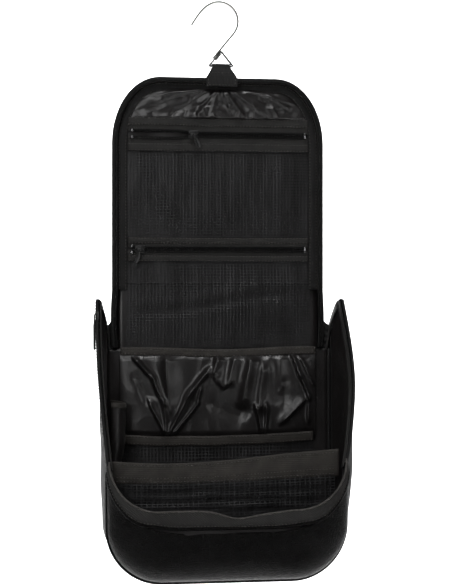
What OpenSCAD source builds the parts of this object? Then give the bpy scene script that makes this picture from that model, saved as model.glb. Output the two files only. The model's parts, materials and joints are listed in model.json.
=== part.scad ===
// Hanging toiletry bag, opened out and hung from its hook.
// +Z is up, the open side faces -Y, and the origin is the axis of the rail in the hook.

/* [Hook and ring] */
// Inner radius of the hook's arc
hook_r = 17; // [14:0.5:20]
// Width of the hook's steel strip, front to back
strip_w = 9; // [6:0.5:12]
// Thickness of the hook's steel strip
strip_t = 2; // [1.5:0.1:2.5]
// Diameter of the ring's wire
wire_d = 2.2; // [1.8:0.1:2.6]
// Width of the triangular ring, corner to corner
ring_w = 23; // [20:0.5:28]
// Height of the triangular ring
ring_h = 14; // [12:0.5:18]
// Distance of the ring's tip below the hook's arc centre
ring_drop = 28; // [26:0.5:34]
// Radial clearance between a wire and what turns on it
wire_gap = 0.08; // [0.05:0.01:0.1]

/* [Cover] */
// Width of the cover
cover_w = 200; // [170:5:230]
// Height of the cover, fold to top edge
cover_h = 210; // [190:5:240]
// Width of a rounded top corner
cover_corner_w = 45; // [30:1:60]
// Height of a rounded top corner
cover_corner_h = 62; // [40:1:80]
// Thickness of the padded panels
panel_t = 6; // [5:0.5:8]
// Height of the zip rim in front of the back face
rim_f = 14; // [13:0.5:16]
// Angle that the cover turns through to close
closed_angle = 157; // [150:1:162]

/* [Compartment] */
// Width of the compartment
tub_w = 212; // [180:4:240]
// Depth of the compartment, front to back
depth = 98; // [84:2:120]
// Height of the compartment below the fold
tub_h = 249; // [230:5:290]
// Radius of the bottom corners
tub_corner = 48; // [30:2:60]
// How far the front panel crowns out in front of its seam
crown = 20; // [14:1:24]
// Height of the narrow back strip between the fold and the zip ends
neck_h = 44; // [36:1:52]
// Angle that the side wings stand outwards at rest
splay = 12; // [6:1:16]
// Thickness of the outer skin
skin_t = 2; // [1.5:0.1:2.5]
// Thickness of the foam and boards
foam_t = 2.4; // [2:0.1:3]
// Thickness of the lining
lining_t = 0.8; // [0.6:0.1:1]

/* [Pockets] */
// Height of the upper zip's chain below the cover's top edge
upper_zip_drop = 54; // [46:1:60]
// Distance between the two zips
zip_pitch = 108; // [96:1:118]
// Width of the upper zip's two tapes together
upper_tape_w = 29; // [24:1:32]
// Width of the lower zip's two tapes together
lower_tape_w = 21; // [18:1:26]
// Distance of the upper slider left of the centre
upper_slider_left = 24; // [10:1:40]
// Distance of the lower slider left of the centre
lower_slider_left = 74; // [60:1:76]
// Height of the back pocket's hem above the floor
back_pocket_h = 118; // [90:2:130]
// Height of the divider above the floor
divider_h = 112; // [90:2:114]
// Distance of the divider in front of the back face
divider_f = 68; // [56:1:72]
// Height of the divider's elastic hem
divider_hem_h = 24; // [16:1:28]

/* [Hidden] */
seg = 8;             // straight steps in a rounded corner
over = 1;            // how far a cutter runs past what it cuts
air = 0.3;           // gap between layers that only lie on each other
big = 400;           // larger than the bag, for cutters
back_y = 8;          // the hook hangs this far in front of the back face

// The ring hangs from a sleeve on its left leg, so the leg is parallel to the hook's shank.
wire_r = wire_d / 2;
strip_r = hook_r + strip_t / 2;
sleeve_r = wire_r + wire_gap + 1.3;
sleeve_at = 2;       // where the sleeve starts, along the ring's left leg
sleeve_l = 8;
leg_a = atan2(ring_h, ring_w / 2);
shank_off = strip_r + sleeve_r - strip_t / 2;
tab_x = (shank_off - ring_drop * cos(leg_a)) / sin(leg_a);
ring_z = -ring_drop - ring_h;
tip_a = 192;         // where the hook's arc ends, from the right-hand side
leg_l = norm([ring_w / 2, ring_h]);

// Heights, from the hook downwards.
tab_reach = 9;       // how far the tab laps over the cover
cover_top = ring_z - 11;
fold_z = cover_top - cover_h;
fold_gap = 8;        // soft fabric on each side of the fold
seam_z = fold_z - neck_h;
seam_h = 7;
floor_z = fold_z - tub_h;
upper_zip_z = cover_top - upper_zip_drop;
lower_zip_z = upper_zip_z - zip_pitch;

// The fold's axis lies just in front of the rim, and the closed rim sets the mouth's plane.
pivot_f = rim_f + 3;
mouth_dir = [sin(closed_angle), cos(closed_angle)];
mouth_out = [-cos(closed_angle), sin(closed_angle)];
mouth_at = [pivot_f, fold_z] + 0.8 * mouth_out;
seam_f = depth - crown;
rim_in = 13.5;       // width of the rim and its facing
inner_w = cover_w - 2 * rim_in;
wall_t = skin_t + lining_t + air;
floor_t = skin_t + foam_t + lining_t + 2 * air;
front_t = floor_t;
coil_d = 2.6;
tape_t = 1;
pocket_f = panel_t + 1.2;

function yf(f) = back_y - f;
function arc(cx, cy, rx, ry, a0, a1) =
    [for (i = [0:seg]) let (a = a0 + (a1 - a0) * i / seg) [cx + rx * cos(a), cy + ry * sin(a)]];
// Height of the mouth's plane at f, when the plane is moved inwards by d.
function mouth_z(f, d = 0) = mouth_at[1] - (d + (f - mouth_at[0]) * mouth_out[0]) / mouth_out[1];

// Drawn in X and Z, and thick from f0 to f1 in front of the back face.
module slab(f0, f1) translate([0, yf(f0), 0]) rotate([90, 0, 0]) linear_extrude(f1 - f0) children();
// Drawn in f and Z, and thick from x0 to x1.
module side_slab(x0, x1, pts)
    translate([x0, 0, 0]) rotate([90, 0, 90]) linear_extrude(x1 - x0)
        polygon([for (p = pts) [yf(p[0]), p[1]]]);
module band(x0, x1, z0, z1, f0, f1)
    translate([x0, yf(f1), z0]) cube([x1 - x0, f1 - f0, z1 - z0]);
module rod(a, b, r)
    let (d = b - a, l = norm(d), u = d / l)
        translate(a) rotate([0, acos(u[2]), atan2(u[1], u[0])]) cylinder(r = r, h = l, $fn = 24);

// ---- Hook, ring and tab ----
module hook_profile() {
    end_a = leg_a - 90;
    difference() {
        circle(r = hook_r + strip_t, $fn = 96);
        circle(r = hook_r, $fn = 96);
        polygon(concat([[0, 0]], [for (i = [0:seg])
            let (a = tip_a + (360 + end_a - tip_a) * i / seg) 2 * hook_r * [cos(a), sin(a)]]));
    }
}

module hook() color("silver") {
    end_a = leg_a - 90;
    shank_l = ring_drop * sin(leg_a) - tab_x * cos(leg_a) + sleeve_at + sleeve_l;
    difference() {
        union() {
            translate([0, strip_w / 2, 0]) rotate([90, 0, 0]) linear_extrude(strip_w)
                union() {
                    hook_profile();
                    rotate(end_a) translate([hook_r, -shank_l]) square([strip_t, shank_l]);
                }
            rod(leg_point(sleeve_at), leg_point(sleeve_at + sleeve_l), sleeve_r);
        }
        rod(leg_point(-2 * wire_d), leg_point(leg_l + over), wire_r + wire_gap);
    }
}

function leg_point(s) =
    [tab_x - s * cos(leg_a), 0, -ring_drop - s * sin(leg_a)];

module hanging_ring() color("silver") {
    tip = [tab_x, 0, -ring_drop];
    left = [tab_x - ring_w / 2, 0, ring_z];
    right = [tab_x + ring_w / 2, 0, ring_z];
    rod(tip, left, wire_r);
    rod(tip, right, wire_r);
    rod(left, right, wire_r);
    for (p = [tip, left, right]) translate(p) sphere(r = wire_r, $fn = 24);
}

// Webbing that loops over the ring and is sewn through the cover's rim, front and back.
module hanging_tab() color([0.09, 0.09, 0.09]) {
    top_w = ring_w - 8;
    flare = 7.5;
    web = 1.4;
    loop_r = wire_r + wire_gap + web;
    difference() {
        union() {
            translate([tab_x - top_w / 2, 0, ring_z]) rotate([0, 90, 0])
                cylinder(r = loop_r, h = top_w, $fn = 32);
            translate([tab_x, 0, 0]) slab(back_y - loop_r, back_y + loop_r) polygon([
                [-top_w / 2, ring_z], [top_w / 2, ring_z],
                [top_w / 2, ring_z - 4], [top_w / 2 + flare, cover_top + air],
                [-top_w / 2 - flare, cover_top + air], [-top_w / 2, ring_z - 4]]);
            translate([tab_x, 0, 0]) slab(rim_f + air, rim_f + air + web)
                polygon([
                    [-top_w / 2 - flare, cover_top + 3], [top_w / 2 + flare, cover_top + 3],
                    [top_w / 2 + flare, cover_top - tab_reach],
                    [-top_w / 2 - flare, cover_top - tab_reach]]);
            band(tab_x - top_w / 2 - flare, tab_x + top_w / 2 + flare,
                cover_top + air, cover_top + 3, back_y, rim_f + air + web);
        }
        translate([tab_x - ring_w, 0, ring_z]) rotate([0, 90, 0])
            cylinder(r = wire_r + wire_gap, h = 2 * ring_w, $fn = 32);
    }
}

// ---- Cover ----
module cover_outline(o = 0, low = fold_z + fold_gap) {
    x = cover_w / 2;
    rx = cover_corner_w;
    rz = cover_corner_h;
    polygon(concat(
        arc(x - rx, cover_top - rz, rx - o, rz - o, 0, 90),
        arc(rx - x, cover_top - rz, rx - o, rz - o, 90, 180),
        [[o - x, low], [x - o, low]]));
}

module cover_ring(o0, o1, f0, f1) slab(f0, f1) difference() {
    cover_outline(o0);
    cover_outline(o1, fold_z);
}

bind_w = 3;
board_in = 4;
module cover_skin() color([0.07, 0.07, 0.07]) slab(0, skin_t) cover_outline(bind_w + air);
module cover_board() color("dimgray")
    slab(skin_t + air / 2, skin_t + air / 2 + foam_t) cover_outline(bind_w + board_in);
module cover_lining() color([0.1, 0.1, 0.1])
    slab(panel_t - lining_t, panel_t) cover_outline(bind_w + air);
module cover_binding() color([0.05, 0.05, 0.05]) cover_ring(0, bind_w, 0, 9);
module cover_zip_tape() color([0.1, 0.1, 0.1])
    cover_ring(bind_w + air, bind_w + air + tape_t, panel_t + air, rim_f - coil_d);
module cover_zip_coil() color([0.04, 0.04, 0.04])
    cover_ring(bind_w - 0.5, bind_w - 0.5 + coil_d, rim_f - coil_d + 0.1, rim_f);
module cover_facing() color([0.1, 0.1, 0.1])
    cover_ring(bind_w + 2 * air + tape_t, rim_in, panel_t + air, panel_t + 2.2);

// ---- Cover pockets ----
module gathered_lining() color([0.2, 0.19, 0.19])
    slab(panel_t + air, pocket_f + 2) intersection() {
        cover_outline(rim_in + air);
        translate([-big / 2, upper_zip_z + upper_tape_w / 2 + air]) square(big);
    }

module zip_tapes(z, w, chain) slab(panel_t + air, pocket_f + 1) intersection() {
    cover_outline(rim_in + air);
    for (s = [-1, 1])
        translate([-big / 2, z + s * (w + chain + 0.2) / 4 - (w - chain - 0.2) / 4])
            square([big, (w - chain - 0.2) / 2]);
}

module zip_chain(z, chain, slider_x) {
    x = inner_w / 2 - 4;
    gap = 1.6;
    f0 = panel_t + air;
    f1 = pocket_f + 1;
    half = (chain - gap) / 2;
    band(slider_x, x, z - chain / 2 + 0.1, z + chain / 2 - 0.1, f0, f1);
    band(-x, slider_x - air, z + gap / 2, z + gap / 2 + half - 0.1, f0, f1);
    band(-x, slider_x - air, z - gap / 2 - half + 0.1, z - gap / 2, f0, f1);
}

module zip_stops(z) {
    x = inner_w / 2 - 5.5;
    for (s = [-1, 1])
        translate([-x, yf(pocket_f + 1), z + s * 2.2]) rotate([90, 0, 0])
            cylinder(r = 1.1, h = 1, $fn = 20);
    band(x - 2, x, z - 2.6, z + 2.6, pocket_f + 1, pocket_f + 1.8);
}

chain_w = 7;
module upper_zip_tapes() color([0.1, 0.1, 0.1]) zip_tapes(upper_zip_z, upper_tape_w, chain_w);
module upper_zip_coil() color([0.04, 0.04, 0.04])
    zip_chain(upper_zip_z, chain_w, -upper_slider_left);
module upper_zip_stops() color("silver") zip_stops(upper_zip_z);
module upper_mesh() color([0.13, 0.13, 0.13])
    band(-inner_w / 2 + air, inner_w / 2 - air, lower_zip_z + lower_tape_w / 2 + air,
        upper_zip_z - upper_tape_w / 2 - air, panel_t + air, pocket_f + 0.6);
module lower_zip_tapes() color([0.1, 0.1, 0.1]) zip_tapes(lower_zip_z, lower_tape_w, chain_w);
module lower_zip_coil() color([0.04, 0.04, 0.04])
    zip_chain(lower_zip_z, chain_w, -lower_slider_left);
module lower_zip_stops() color("silver") zip_stops(lower_zip_z);
module lower_mesh_top() color([0.13, 0.13, 0.13])
    band(-inner_w / 2 + air, inner_w / 2 - air, fold_z + fold_gap,
        lower_zip_z - lower_tape_w / 2 - air, panel_t + air, pocket_f + 0.6);

// ---- Sliders and pulls ----
slider_w = 7;
slider_l = 9;
slider_f = pocket_f + 1 + air;
bar_f = 4.2;
// A slider body with a bridge along its travel, drawn with its travel along X and its top towards -Y.
module slider() {
    translate([-slider_l / 2, -2.2, -slider_w / 2]) cube([slider_l, 2.2, slider_w]);
    slider_bridge();
}

module slider_bridge() {
    for (s = [-1, 1])
        translate([s * (slider_l / 2 - 1) - 0.8, -bar_f - 0.7, -1.2]) cube([1.6, bar_f + 0.7, 2.4]);
    translate([-slider_l / 2 + 1, -bar_f, 0]) rotate([0, 90, 0])
        cylinder(r = 0.7, h = slider_l - 2, $fn = 20);
}

// A pull that hangs from the bridge by a round eye, drawn hanging straight down.
module pull(l, w) {
    eye_r = 0.78;
    difference() {
        union() {
            translate([-1.6, -bar_f, 0]) rotate([0, 90, 0]) cylinder(r = 1.5, h = 3.2, $fn = 24);
            translate([-1.4, -bar_f - 0.7, -6]) cube([2.8, 1.4, 5.5]);
            translate([-w / 2, -bar_f - 0.8, -l]) cube([w, 1.6, l - 5.5]);
        }
        translate([-3, -bar_f, 0]) rotate([0, 90, 0]) cylinder(r = eye_r, h = 6, $fn = 24);
        translate([-w / 2 + 1.2, -bar_f - over - 0.8, -l + 1.2]) cube([w - 2.4, 2 + 2 * over, 4.5]);
    }
}

module at_upper() translate([-upper_slider_left, yf(slider_f), upper_zip_z]) children();
module at_lower() translate([-lower_slider_left, yf(slider_f), lower_zip_z]) children();
module upper_slider() color("dimgray") at_upper() slider();
module upper_pull() color("dimgray") at_upper() pull(14, 4.4);
module lower_slider() color("dimgray") at_lower() slider();
module lower_pull() color("dimgray") at_lower() pull(14, 4.4);

// ---- Compartment ----
module tub_outline(o = 0, top = fold_z) {
    x = tub_w / 2;
    r = tub_corner;
    polygon(concat(
        arc(r - x, floor_z + r, r - o, r - o, 180, 270),
        arc(x - r, floor_z + r, r - o, r - o, 270, 360),
        [[x - o, top], [o - x, top]]));
}

// The solid that the crowned front panel fills, inset by o.
module crown_solid(o) {
    x = tub_w / 2;
    rise = 22;
    f_in = seam_f - (o > 0 ? over : 0);
    intersection() {
        slab(f_in, depth) tub_outline(o);
        translate([0, 0, floor_z - over]) linear_extrude(tub_h + 2 * over)
            polygon([for (p = concat(
                [[o - x, f_in - over]],
                arc(45 - x, seam_f, 45 - o, crown - o, 180, 90),
                arc(x - 45, seam_f, 45 - o, crown - o, 90, 0),
                [[x - o, f_in - over]])) [p[0], yf(p[1])]]);
        side_slab(-x - over, x + over, concat(
            [[f_in - over, floor_z + o]],
            arc(seam_f, floor_z + rise, crown - o, rise - o, 270, 360),
            [[depth - o, fold_z], [f_in - over, fold_z]]));
    }
}

// Everything on the far side of the mouth's plane, moved inwards by d.
module mouth_air(d = 0) {
    p = mouth_at - d * mouth_out;
    side_slab(-big / 2, big / 2, [
        p - 60 * mouth_dir, p + big * mouth_dir,
        p + big * mouth_dir + big * mouth_out, p - 60 * mouth_dir + big * mouth_out]);
}

lip_d = coil_d + 6;
module front_layer(o0, o1) difference() {
    crown_solid(o0);
    crown_solid(o1);
    mouth_air(lip_d + air);
}
module front_skin() color([0.05, 0.05, 0.05]) front_layer(0, skin_t);
module front_foam() color("dimgray") front_layer(skin_t + air / 2, skin_t + air / 2 + foam_t);
module front_lining() color([0.1, 0.1, 0.1]) front_layer(front_t - lining_t, front_t);

// The lip carries the zip's tape and coil along the front panel's top edge.
module lip_band(d0, d1, o0, o1) difference() {
    intersection() {
        crown_solid(o0);
        mouth_air(d1);
    }
    crown_solid(o1);
    mouth_air(d0);
}
module lip_zip_tape() color([0.1, 0.1, 0.1]) lip_band(coil_d, lip_d, 1, 1 + 2 * tape_t);
module lip_zip_coil() color([0.04, 0.04, 0.04]) lip_band(0.1, coil_d - 0.1, 0.8, 0.8 + coil_d);

pipe_d = 3;
module u_ring(o0, o1, f0, f1, top) slab(f0, f1) difference() {
    tub_outline(o0, top);
    tub_outline(o1, top + over);
}

module front_piping() color([0.03, 0.03, 0.03])
    u_ring(-1, 1.6, seam_f - pipe_d, seam_f - over - 0.1, mouth_z(seam_f) - lip_d);

// The chord runs from the zip's rear end to the lip, and the wing bends about it.
chord_a = [panel_t + air, seam_z - 1];
chord_b = [seam_f - pipe_d - air, mouth_z(seam_f) - 4];
chord_dir = (chord_b - chord_a) / norm(chord_b - chord_a);
chord_out = [-chord_dir[1], chord_dir[0]];
wing_gap = 1.5;
corner_z = floor_z + tub_corner;
side_x = tub_w / 2;

module side_sheet(s, o0, o1) {
    pts = [chord_a, chord_b, [chord_b[0], corner_z + 0.1], [chord_a[0], corner_z + 0.1]];
    if (s > 0) side_slab(side_x - o1, side_x - o0, pts);
    else side_slab(o0 - side_x, o1 - side_x, pts);
}
module side_skin_left() color([0.06, 0.06, 0.06]) side_sheet(-1, 0, skin_t);
module side_skin_right() color([0.06, 0.06, 0.06]) side_sheet(1, 0, skin_t);
module side_lining_left() color([0.1, 0.1, 0.1]) side_sheet(-1, skin_t + air, wall_t);
module side_lining_right() color([0.1, 0.1, 0.1]) side_sheet(1, skin_t + air, wall_t);

module base_layer(o0, o1) u_ring(o0, o1, chord_a[0], chord_b[0], corner_z);
module base_skin() color([0.06, 0.06, 0.06]) base_layer(0, skin_t);
module base_lining() color([0.1, 0.1, 0.1]) base_layer(floor_t - lining_t, floor_t);
module base_board() color("dimgray") {
    x = side_x - tub_corner;
    z = floor_z + skin_t + air / 2;
    band(-x, x, z, z + foam_t, chord_a[0] + 1, chord_b[0] - 1);
}

// The back panel narrows to the neck above the zip ends.
module back_outline(o = 0) {
    x = cover_w / 2 - o;
    tub_outline(o, seam_z - o);
    translate([-x, seam_z - o - over]) square([2 * x, neck_h - fold_gap + o + over]);
}
module back_skin() color([0.06, 0.06, 0.06]) slab(0, skin_t) back_outline(bind_w + air);
module back_board() color("dimgray")
    slab(skin_t + air / 2, skin_t + air / 2 + foam_t) back_outline(bind_w + board_in);
module back_lining() color([0.1, 0.1, 0.1]) slab(panel_t - lining_t, panel_t) back_outline(bind_w + air);
module back_binding() color([0.05, 0.05, 0.05]) slab(0, panel_t) difference() {
    back_outline(0);
    back_outline(bind_w);
    translate([-big / 2, fold_z - fold_gap - bind_w]) square(big);
}
module fold_strip() color([0.07, 0.07, 0.07])
    band(bind_w - cover_w / 2, cover_w / 2 - bind_w, fold_z - fold_gap + air, fold_z + 2, 0, skin_t);

module neck_zip(s) {
    x = cover_w / 2;
    x0 = s > 0 ? x - bind_w - coil_d : bind_w - x;
    band(x0, x0 + coil_d, seam_z, fold_z - fold_gap, panel_t + air, rim_f);
}
module neck_zip_left() color([0.04, 0.04, 0.04]) neck_zip(-1);
module neck_zip_right() color([0.04, 0.04, 0.04]) neck_zip(1);

// ---- Compartment pockets ----
module lower_mesh_bottom() color([0.13, 0.13, 0.13])
    band(-inner_w / 2 + air, inner_w / 2 - air, seam_z + air, fold_z - fold_gap,
        panel_t + air, pocket_f + 0.6);
seam_in = 13.5;
module seam_band() color([0.22, 0.21, 0.19])
    band(seam_in - side_x, side_x - seam_in, seam_z - seam_h, seam_z, panel_t + air, pocket_f + 1.4);
pocket_x = side_x - 16;
hem_h = 9;
hem_z = floor_z + back_pocket_h;
module satin_drape() color([0.3, 0.28, 0.28])
    band(seam_in + 2 - side_x, side_x - seam_in - 2, hem_z + air, seam_z - seam_h - air,
        panel_t + air, pocket_f + 6);
module back_pocket_hem() color([0.15, 0.15, 0.15])
    band(-pocket_x, pocket_x, hem_z - hem_h, hem_z, panel_t + air, pocket_f + 2.6);
module back_pocket_mesh() color([0.13, 0.13, 0.13])
    slab(panel_t + air, pocket_f + 1.2) intersection() {
        tub_outline(floor_t + 1);
        translate([-pocket_x, floor_z]) square([2 * pocket_x, back_pocket_h - hem_h - air]);
    }

divider_x = side_x - wall_t - air;
divider_z = floor_z + divider_h;
divider_low = floor_z + floor_t + air;
module divider_mesh() color([0.13, 0.13, 0.13]) slab(divider_f, divider_f + 1.2) intersection() {
    tub_outline(floor_t + air);
    translate([-divider_x, divider_low]) square([2 * divider_x, divider_h - floor_t - divider_hem_h]);
}
module divider_hem() color([0.16, 0.16, 0.15])
    band(-divider_x, divider_x, divider_z - divider_hem_h + 2 * air, divider_z,
        divider_f - 0.6, divider_f + 1.8);

brush_z = fold_z - 94;
brush_low = floor_z + 71;
module toothbrush_pocket() color([0.12, 0.12, 0.12])
    side_slab(-side_x + wall_t + air, -side_x + wall_t + air + 1.6, [
        [12, brush_z], [36, brush_z], [40, brush_low], [12, brush_low]]);

// ---- Wings ----
// A wing's edge runs up from the zip's rear end, over the peak and down to the lip.
wing_low = chord_a + wing_gap * chord_out;
wing_end = chord_b + wing_gap * chord_out;
peak_r = 6;
function wing_edge(d) = concat(
    [wing_low + chord_dir * d / chord_dir[0]],
    arc(wing_low[0] + peak_r, mouth_z(wing_low[0] + peak_r, peak_r), peak_r - d, peak_r - d,
        180, atan2(mouth_out[1], mouth_out[0])),
    [[wing_end[0], mouth_z(wing_end[0], d)]]);

// Turns a wing outwards about the chord.
module splayed(s) {
    at = [s * (side_x - wall_t / 2), yf(chord_a[0]), chord_a[1]];
    translate(at) rotate(-s * splay, [0, -chord_dir[0], chord_dir[1]]) translate(-at) children();
}

module wing_slab(s, o0, o1, pts) splayed(s)
    side_slab(s > 0 ? side_x - o1 : o0 - side_x, s > 0 ? side_x - o0 : o1 - side_x, pts);
module wing_sheet(s, o0, o1) wing_slab(s, o0, o1, concat(wing_edge(coil_d), [wing_end]));
module wing_left() color([0.06, 0.06, 0.06]) wing_sheet(-1, 0, skin_t);
module wing_right() color([0.06, 0.06, 0.06]) wing_sheet(1, 0, skin_t);
module wing_lining_left() color([0.1, 0.1, 0.1]) wing_sheet(-1, skin_t + air, wall_t);
module wing_lining_right() color([0.1, 0.1, 0.1]) wing_sheet(1, skin_t + air, wall_t);
module wing_zip(s) {
    inner = wing_edge(coil_d - 0.1);
    wing_slab(s, 0.2, 0.2 + coil_d,
        concat(wing_edge(0), [for (i = [len(inner) - 1:-1:0]) inner[i]]));
}
module wing_zip_left() color([0.04, 0.04, 0.04]) wing_zip(-1);
module wing_zip_right() color([0.04, 0.04, 0.04]) wing_zip(1);

// The main slider sits near the left wing's peak, and its pull hangs outside the wing.
main_s = 16;
pull_lean = 7;
main_at = mouth_at + main_s * mouth_dir;
main_pos = [-side_x - air, yf(main_at[0]), main_at[1]];
module at_main() splayed(-1) translate(main_pos) children();
module main_slider() color("dimgray") at_main() {
    rotate([closed_angle - 180, 0, 0])
        translate([-2.2, -slider_w / 2, -slider_l / 2]) cube([2.2, slider_w, slider_l]);
    rotate([0, 0, -90]) slider_bridge();
}
module main_pull() color([0.05, 0.05, 0.05])
    at_main() translate([-bar_f, 0, 0]) rotate([0, pull_lean, 0]) translate([bar_f, 0, 0])
        rotate([0, 0, -90]) pull(30, 7);

hook();
hanging_ring();
hanging_tab();
cover_skin();
cover_board();
cover_lining();
cover_binding();
cover_zip_tape();
cover_zip_coil();
cover_facing();
gathered_lining();
upper_zip_tapes();
upper_zip_coil();
upper_zip_stops();
upper_mesh();
lower_zip_tapes();
lower_zip_coil();
lower_zip_stops();
lower_mesh_top();
upper_slider();
upper_pull();
lower_slider();
lower_pull();
main_slider();
main_pull();
back_skin();
back_board();
back_lining();
back_binding();
fold_strip();
neck_zip_left();
neck_zip_right();
lower_mesh_bottom();
seam_band();
satin_drape();
back_pocket_mesh();
back_pocket_hem();
divider_mesh();
divider_hem();
toothbrush_pocket();
side_skin_left();
side_skin_right();
side_lining_left();
side_lining_right();
base_skin();
base_board();
base_lining();
front_skin();
front_foam();
front_lining();
front_piping();
lip_zip_tape();
lip_zip_coil();
wing_left();
wing_right();
wing_lining_left();
wing_lining_right();
wing_zip_left();
wing_zip_right();
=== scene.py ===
"""Hanging toiletry bag: the looks of an opened-out wash bag on its steel hook."""

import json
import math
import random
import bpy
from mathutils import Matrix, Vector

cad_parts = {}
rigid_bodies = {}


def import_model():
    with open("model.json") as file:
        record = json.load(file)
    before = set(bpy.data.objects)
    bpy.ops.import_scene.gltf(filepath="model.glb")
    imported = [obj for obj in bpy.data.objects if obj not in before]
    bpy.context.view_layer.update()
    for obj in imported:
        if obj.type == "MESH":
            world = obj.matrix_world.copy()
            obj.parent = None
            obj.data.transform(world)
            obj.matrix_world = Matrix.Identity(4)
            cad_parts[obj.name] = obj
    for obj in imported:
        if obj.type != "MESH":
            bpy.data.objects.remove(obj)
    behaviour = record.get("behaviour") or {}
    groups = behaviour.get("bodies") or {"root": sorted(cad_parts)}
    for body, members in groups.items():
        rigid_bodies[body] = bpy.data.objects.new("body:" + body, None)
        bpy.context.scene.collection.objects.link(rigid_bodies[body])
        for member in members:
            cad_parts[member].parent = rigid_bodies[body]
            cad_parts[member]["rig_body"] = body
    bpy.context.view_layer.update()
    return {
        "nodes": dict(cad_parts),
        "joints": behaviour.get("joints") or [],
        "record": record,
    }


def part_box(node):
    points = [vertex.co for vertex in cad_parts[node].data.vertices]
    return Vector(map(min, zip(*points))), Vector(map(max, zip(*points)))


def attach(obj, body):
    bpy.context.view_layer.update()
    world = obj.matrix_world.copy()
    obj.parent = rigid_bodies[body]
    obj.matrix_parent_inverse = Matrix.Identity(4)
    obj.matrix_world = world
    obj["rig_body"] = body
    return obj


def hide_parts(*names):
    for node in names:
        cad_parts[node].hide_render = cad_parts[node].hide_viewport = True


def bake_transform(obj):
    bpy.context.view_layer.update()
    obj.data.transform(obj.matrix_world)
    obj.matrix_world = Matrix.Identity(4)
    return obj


bl_info = {
    "name": "Hanging toiletry bag",
    "version": (1, 0, 0),
    "blender": (4, 5, 0),
    "location": "View3D > Sidebar > Wash bag",
    "description": "Builds the cloth, leather, mesh, zips and metal of a hanging wash bag",
    "category": "Object",
}

import bmesh
import bpy
from bpy.props import FloatProperty, FloatVectorProperty, IntProperty, PointerProperty
from mathutils import Matrix, Vector, noise

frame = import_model()

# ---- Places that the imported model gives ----
MM = 0.001
JOINT = {j["name"]: j for j in frame["joints"]}
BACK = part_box("back_skin")[1].y
PIVOT = Vector(JOINT["cover_fold"]["pos_m"])
FOLD_Z = PIVOT.z
COVER_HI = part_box("cover_binding")[1]
COVER_TOP = COVER_HI.z
COVER_X = COVER_HI.x
FLOOR_LO, FLOOR_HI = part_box("base_skin")
FLOOR_Z = FLOOR_LO.z
SIDE_X = FLOOR_HI.x
FRONT_LO, FRONT_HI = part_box("front_skin")
SEAM_F = BACK - FRONT_HI.y
DEPTH = BACK - FRONT_LO.y
SEAM_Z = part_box("seam_band")[1].z
CORNER_X = 45 * MM
CORNER_Z = 62 * MM
TUB_R = 48 * MM
CLOSED = math.radians(157)
MOUTH_OUT = (-math.cos(CLOSED), math.sin(CLOSED))
MOUTH_AT = (BACK - PIVOT.y + 0.8 * MM * MOUTH_OUT[0], FOLD_Z + 0.8 * MM * MOUTH_OUT[1])
CHORD_A = (6.3 * MM, SEAM_Z - 1 * MM)


def place(x, f, z):
    """A point from its distance f in front of the bag's back face."""
    return Vector((x, BACK - f, z))


def mouth_z(f, inward=0.0):
    """Height of the closed rim's plane at f, moved inwards."""
    return MOUTH_AT[1] - (inward + (f - MOUTH_AT[0]) * MOUTH_OUT[0]) / MOUTH_OUT[1]


CHORD_B = (SEAM_F - 3.3 * MM, mouth_z(SEAM_F) - 4 * MM)
CHORD_L = math.dist(CHORD_A, CHORD_B)
CHORD_DIR = ((CHORD_B[0] - CHORD_A[0]) / CHORD_L, (CHORD_B[1] - CHORD_A[1]) / CHORD_L)
CHORD_OUT = (-CHORD_DIR[1], CHORD_DIR[0])


def above_chord(f, z):
    """How far a point of a side lies above the line that the wing bends about."""
    return (f - CHORD_A[0]) * CHORD_OUT[0] + (z - CHORD_A[1]) * CHORD_OUT[1]


# ---- Small sums ----
def smooth(t):
    """A soft step from 0 to 1."""
    t = min(max(t, 0.0), 1.0)
    return t * t * (3 - 2 * t)


def mix(a, b, t):
    return a + (b - a) * t


def wander(x, y, size, seed=0.0):
    """Soft noise from -1 to 1 with waves of about that size."""
    return noise.noise(Vector((x / size, y / size, seed)))


def crease(x, y, size, seed=0.0):
    """Noise with sharp crests, from 0 to 1, for creased cloth."""
    return 1 - abs(noise.noise(Vector((x / size, y / size, seed)))) * 2


def fold_height(x, z, folds):
    """Height of cloth with folds, each (x0, z0, x1, z1, width, height) with one steep flank."""
    total = 0.0
    for x0, z0, x1, z1, width, height in folds:
        run_x, run_z = x1 - x0, z1 - z0
        long = math.hypot(run_x, run_z)
        share = ((x - x0) * run_x + (z - z0) * run_z) / long ** 2
        if -0.2 < share < 1.2:
            gap = ((x - x0) * run_z - (z - z0) * run_x) / long / width
            ends = smooth((share + 0.2) / 0.35) * smooth((1.2 - share) / 0.35)
            total += height * ends * math.exp(-abs(gap if gap < 0 else 2.2 * gap) ** 1.5)
    return total


# ---- Settings that a user can change ----
def length(name, value, words):
    return FloatProperty(name=name, default=value * MM, min=0, unit="LENGTH", description=words)


def colour(name, value, words):
    return FloatVectorProperty(
        name=name, default=value, size=3, min=0, max=1, subtype="COLOR", description=words
    )


class BagSizes(bpy.types.PropertyGroup):
    net_pitch: length("Mesh pitch", 3.2, "Distance from one hole of the mesh to the next")
    net_thread: length("Mesh thread", 1.15, "Width of the mesh's threads")
    tooth_pitch: length("Zip pitch", 1.55, "Distance from one turn of a zip's coil to the next")
    stitch: length("Stitch", 3.0, "Distance from one stitch to the next")
    gather: length("Gathers", 3.4, "Depth of the gathers in the top lining")
    drape: length("Drape", 10.0, "Depth of the folds in the hanging satin")
    bulge_left: length("Left bulge", 4.0, "How far the left side swells outwards")
    bulge_right: length("Right bulge", 13.0, "How far the right side swells outwards")
    wing_splay: FloatProperty(
        name="Wing splay", default=math.radians(12), subtype="ANGLE",
        description="Angle that the side wings stand outwards at rest",
    )
    seed: IntProperty(name="Seed", default=7, description="Changes every crease of the cloth")


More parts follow.
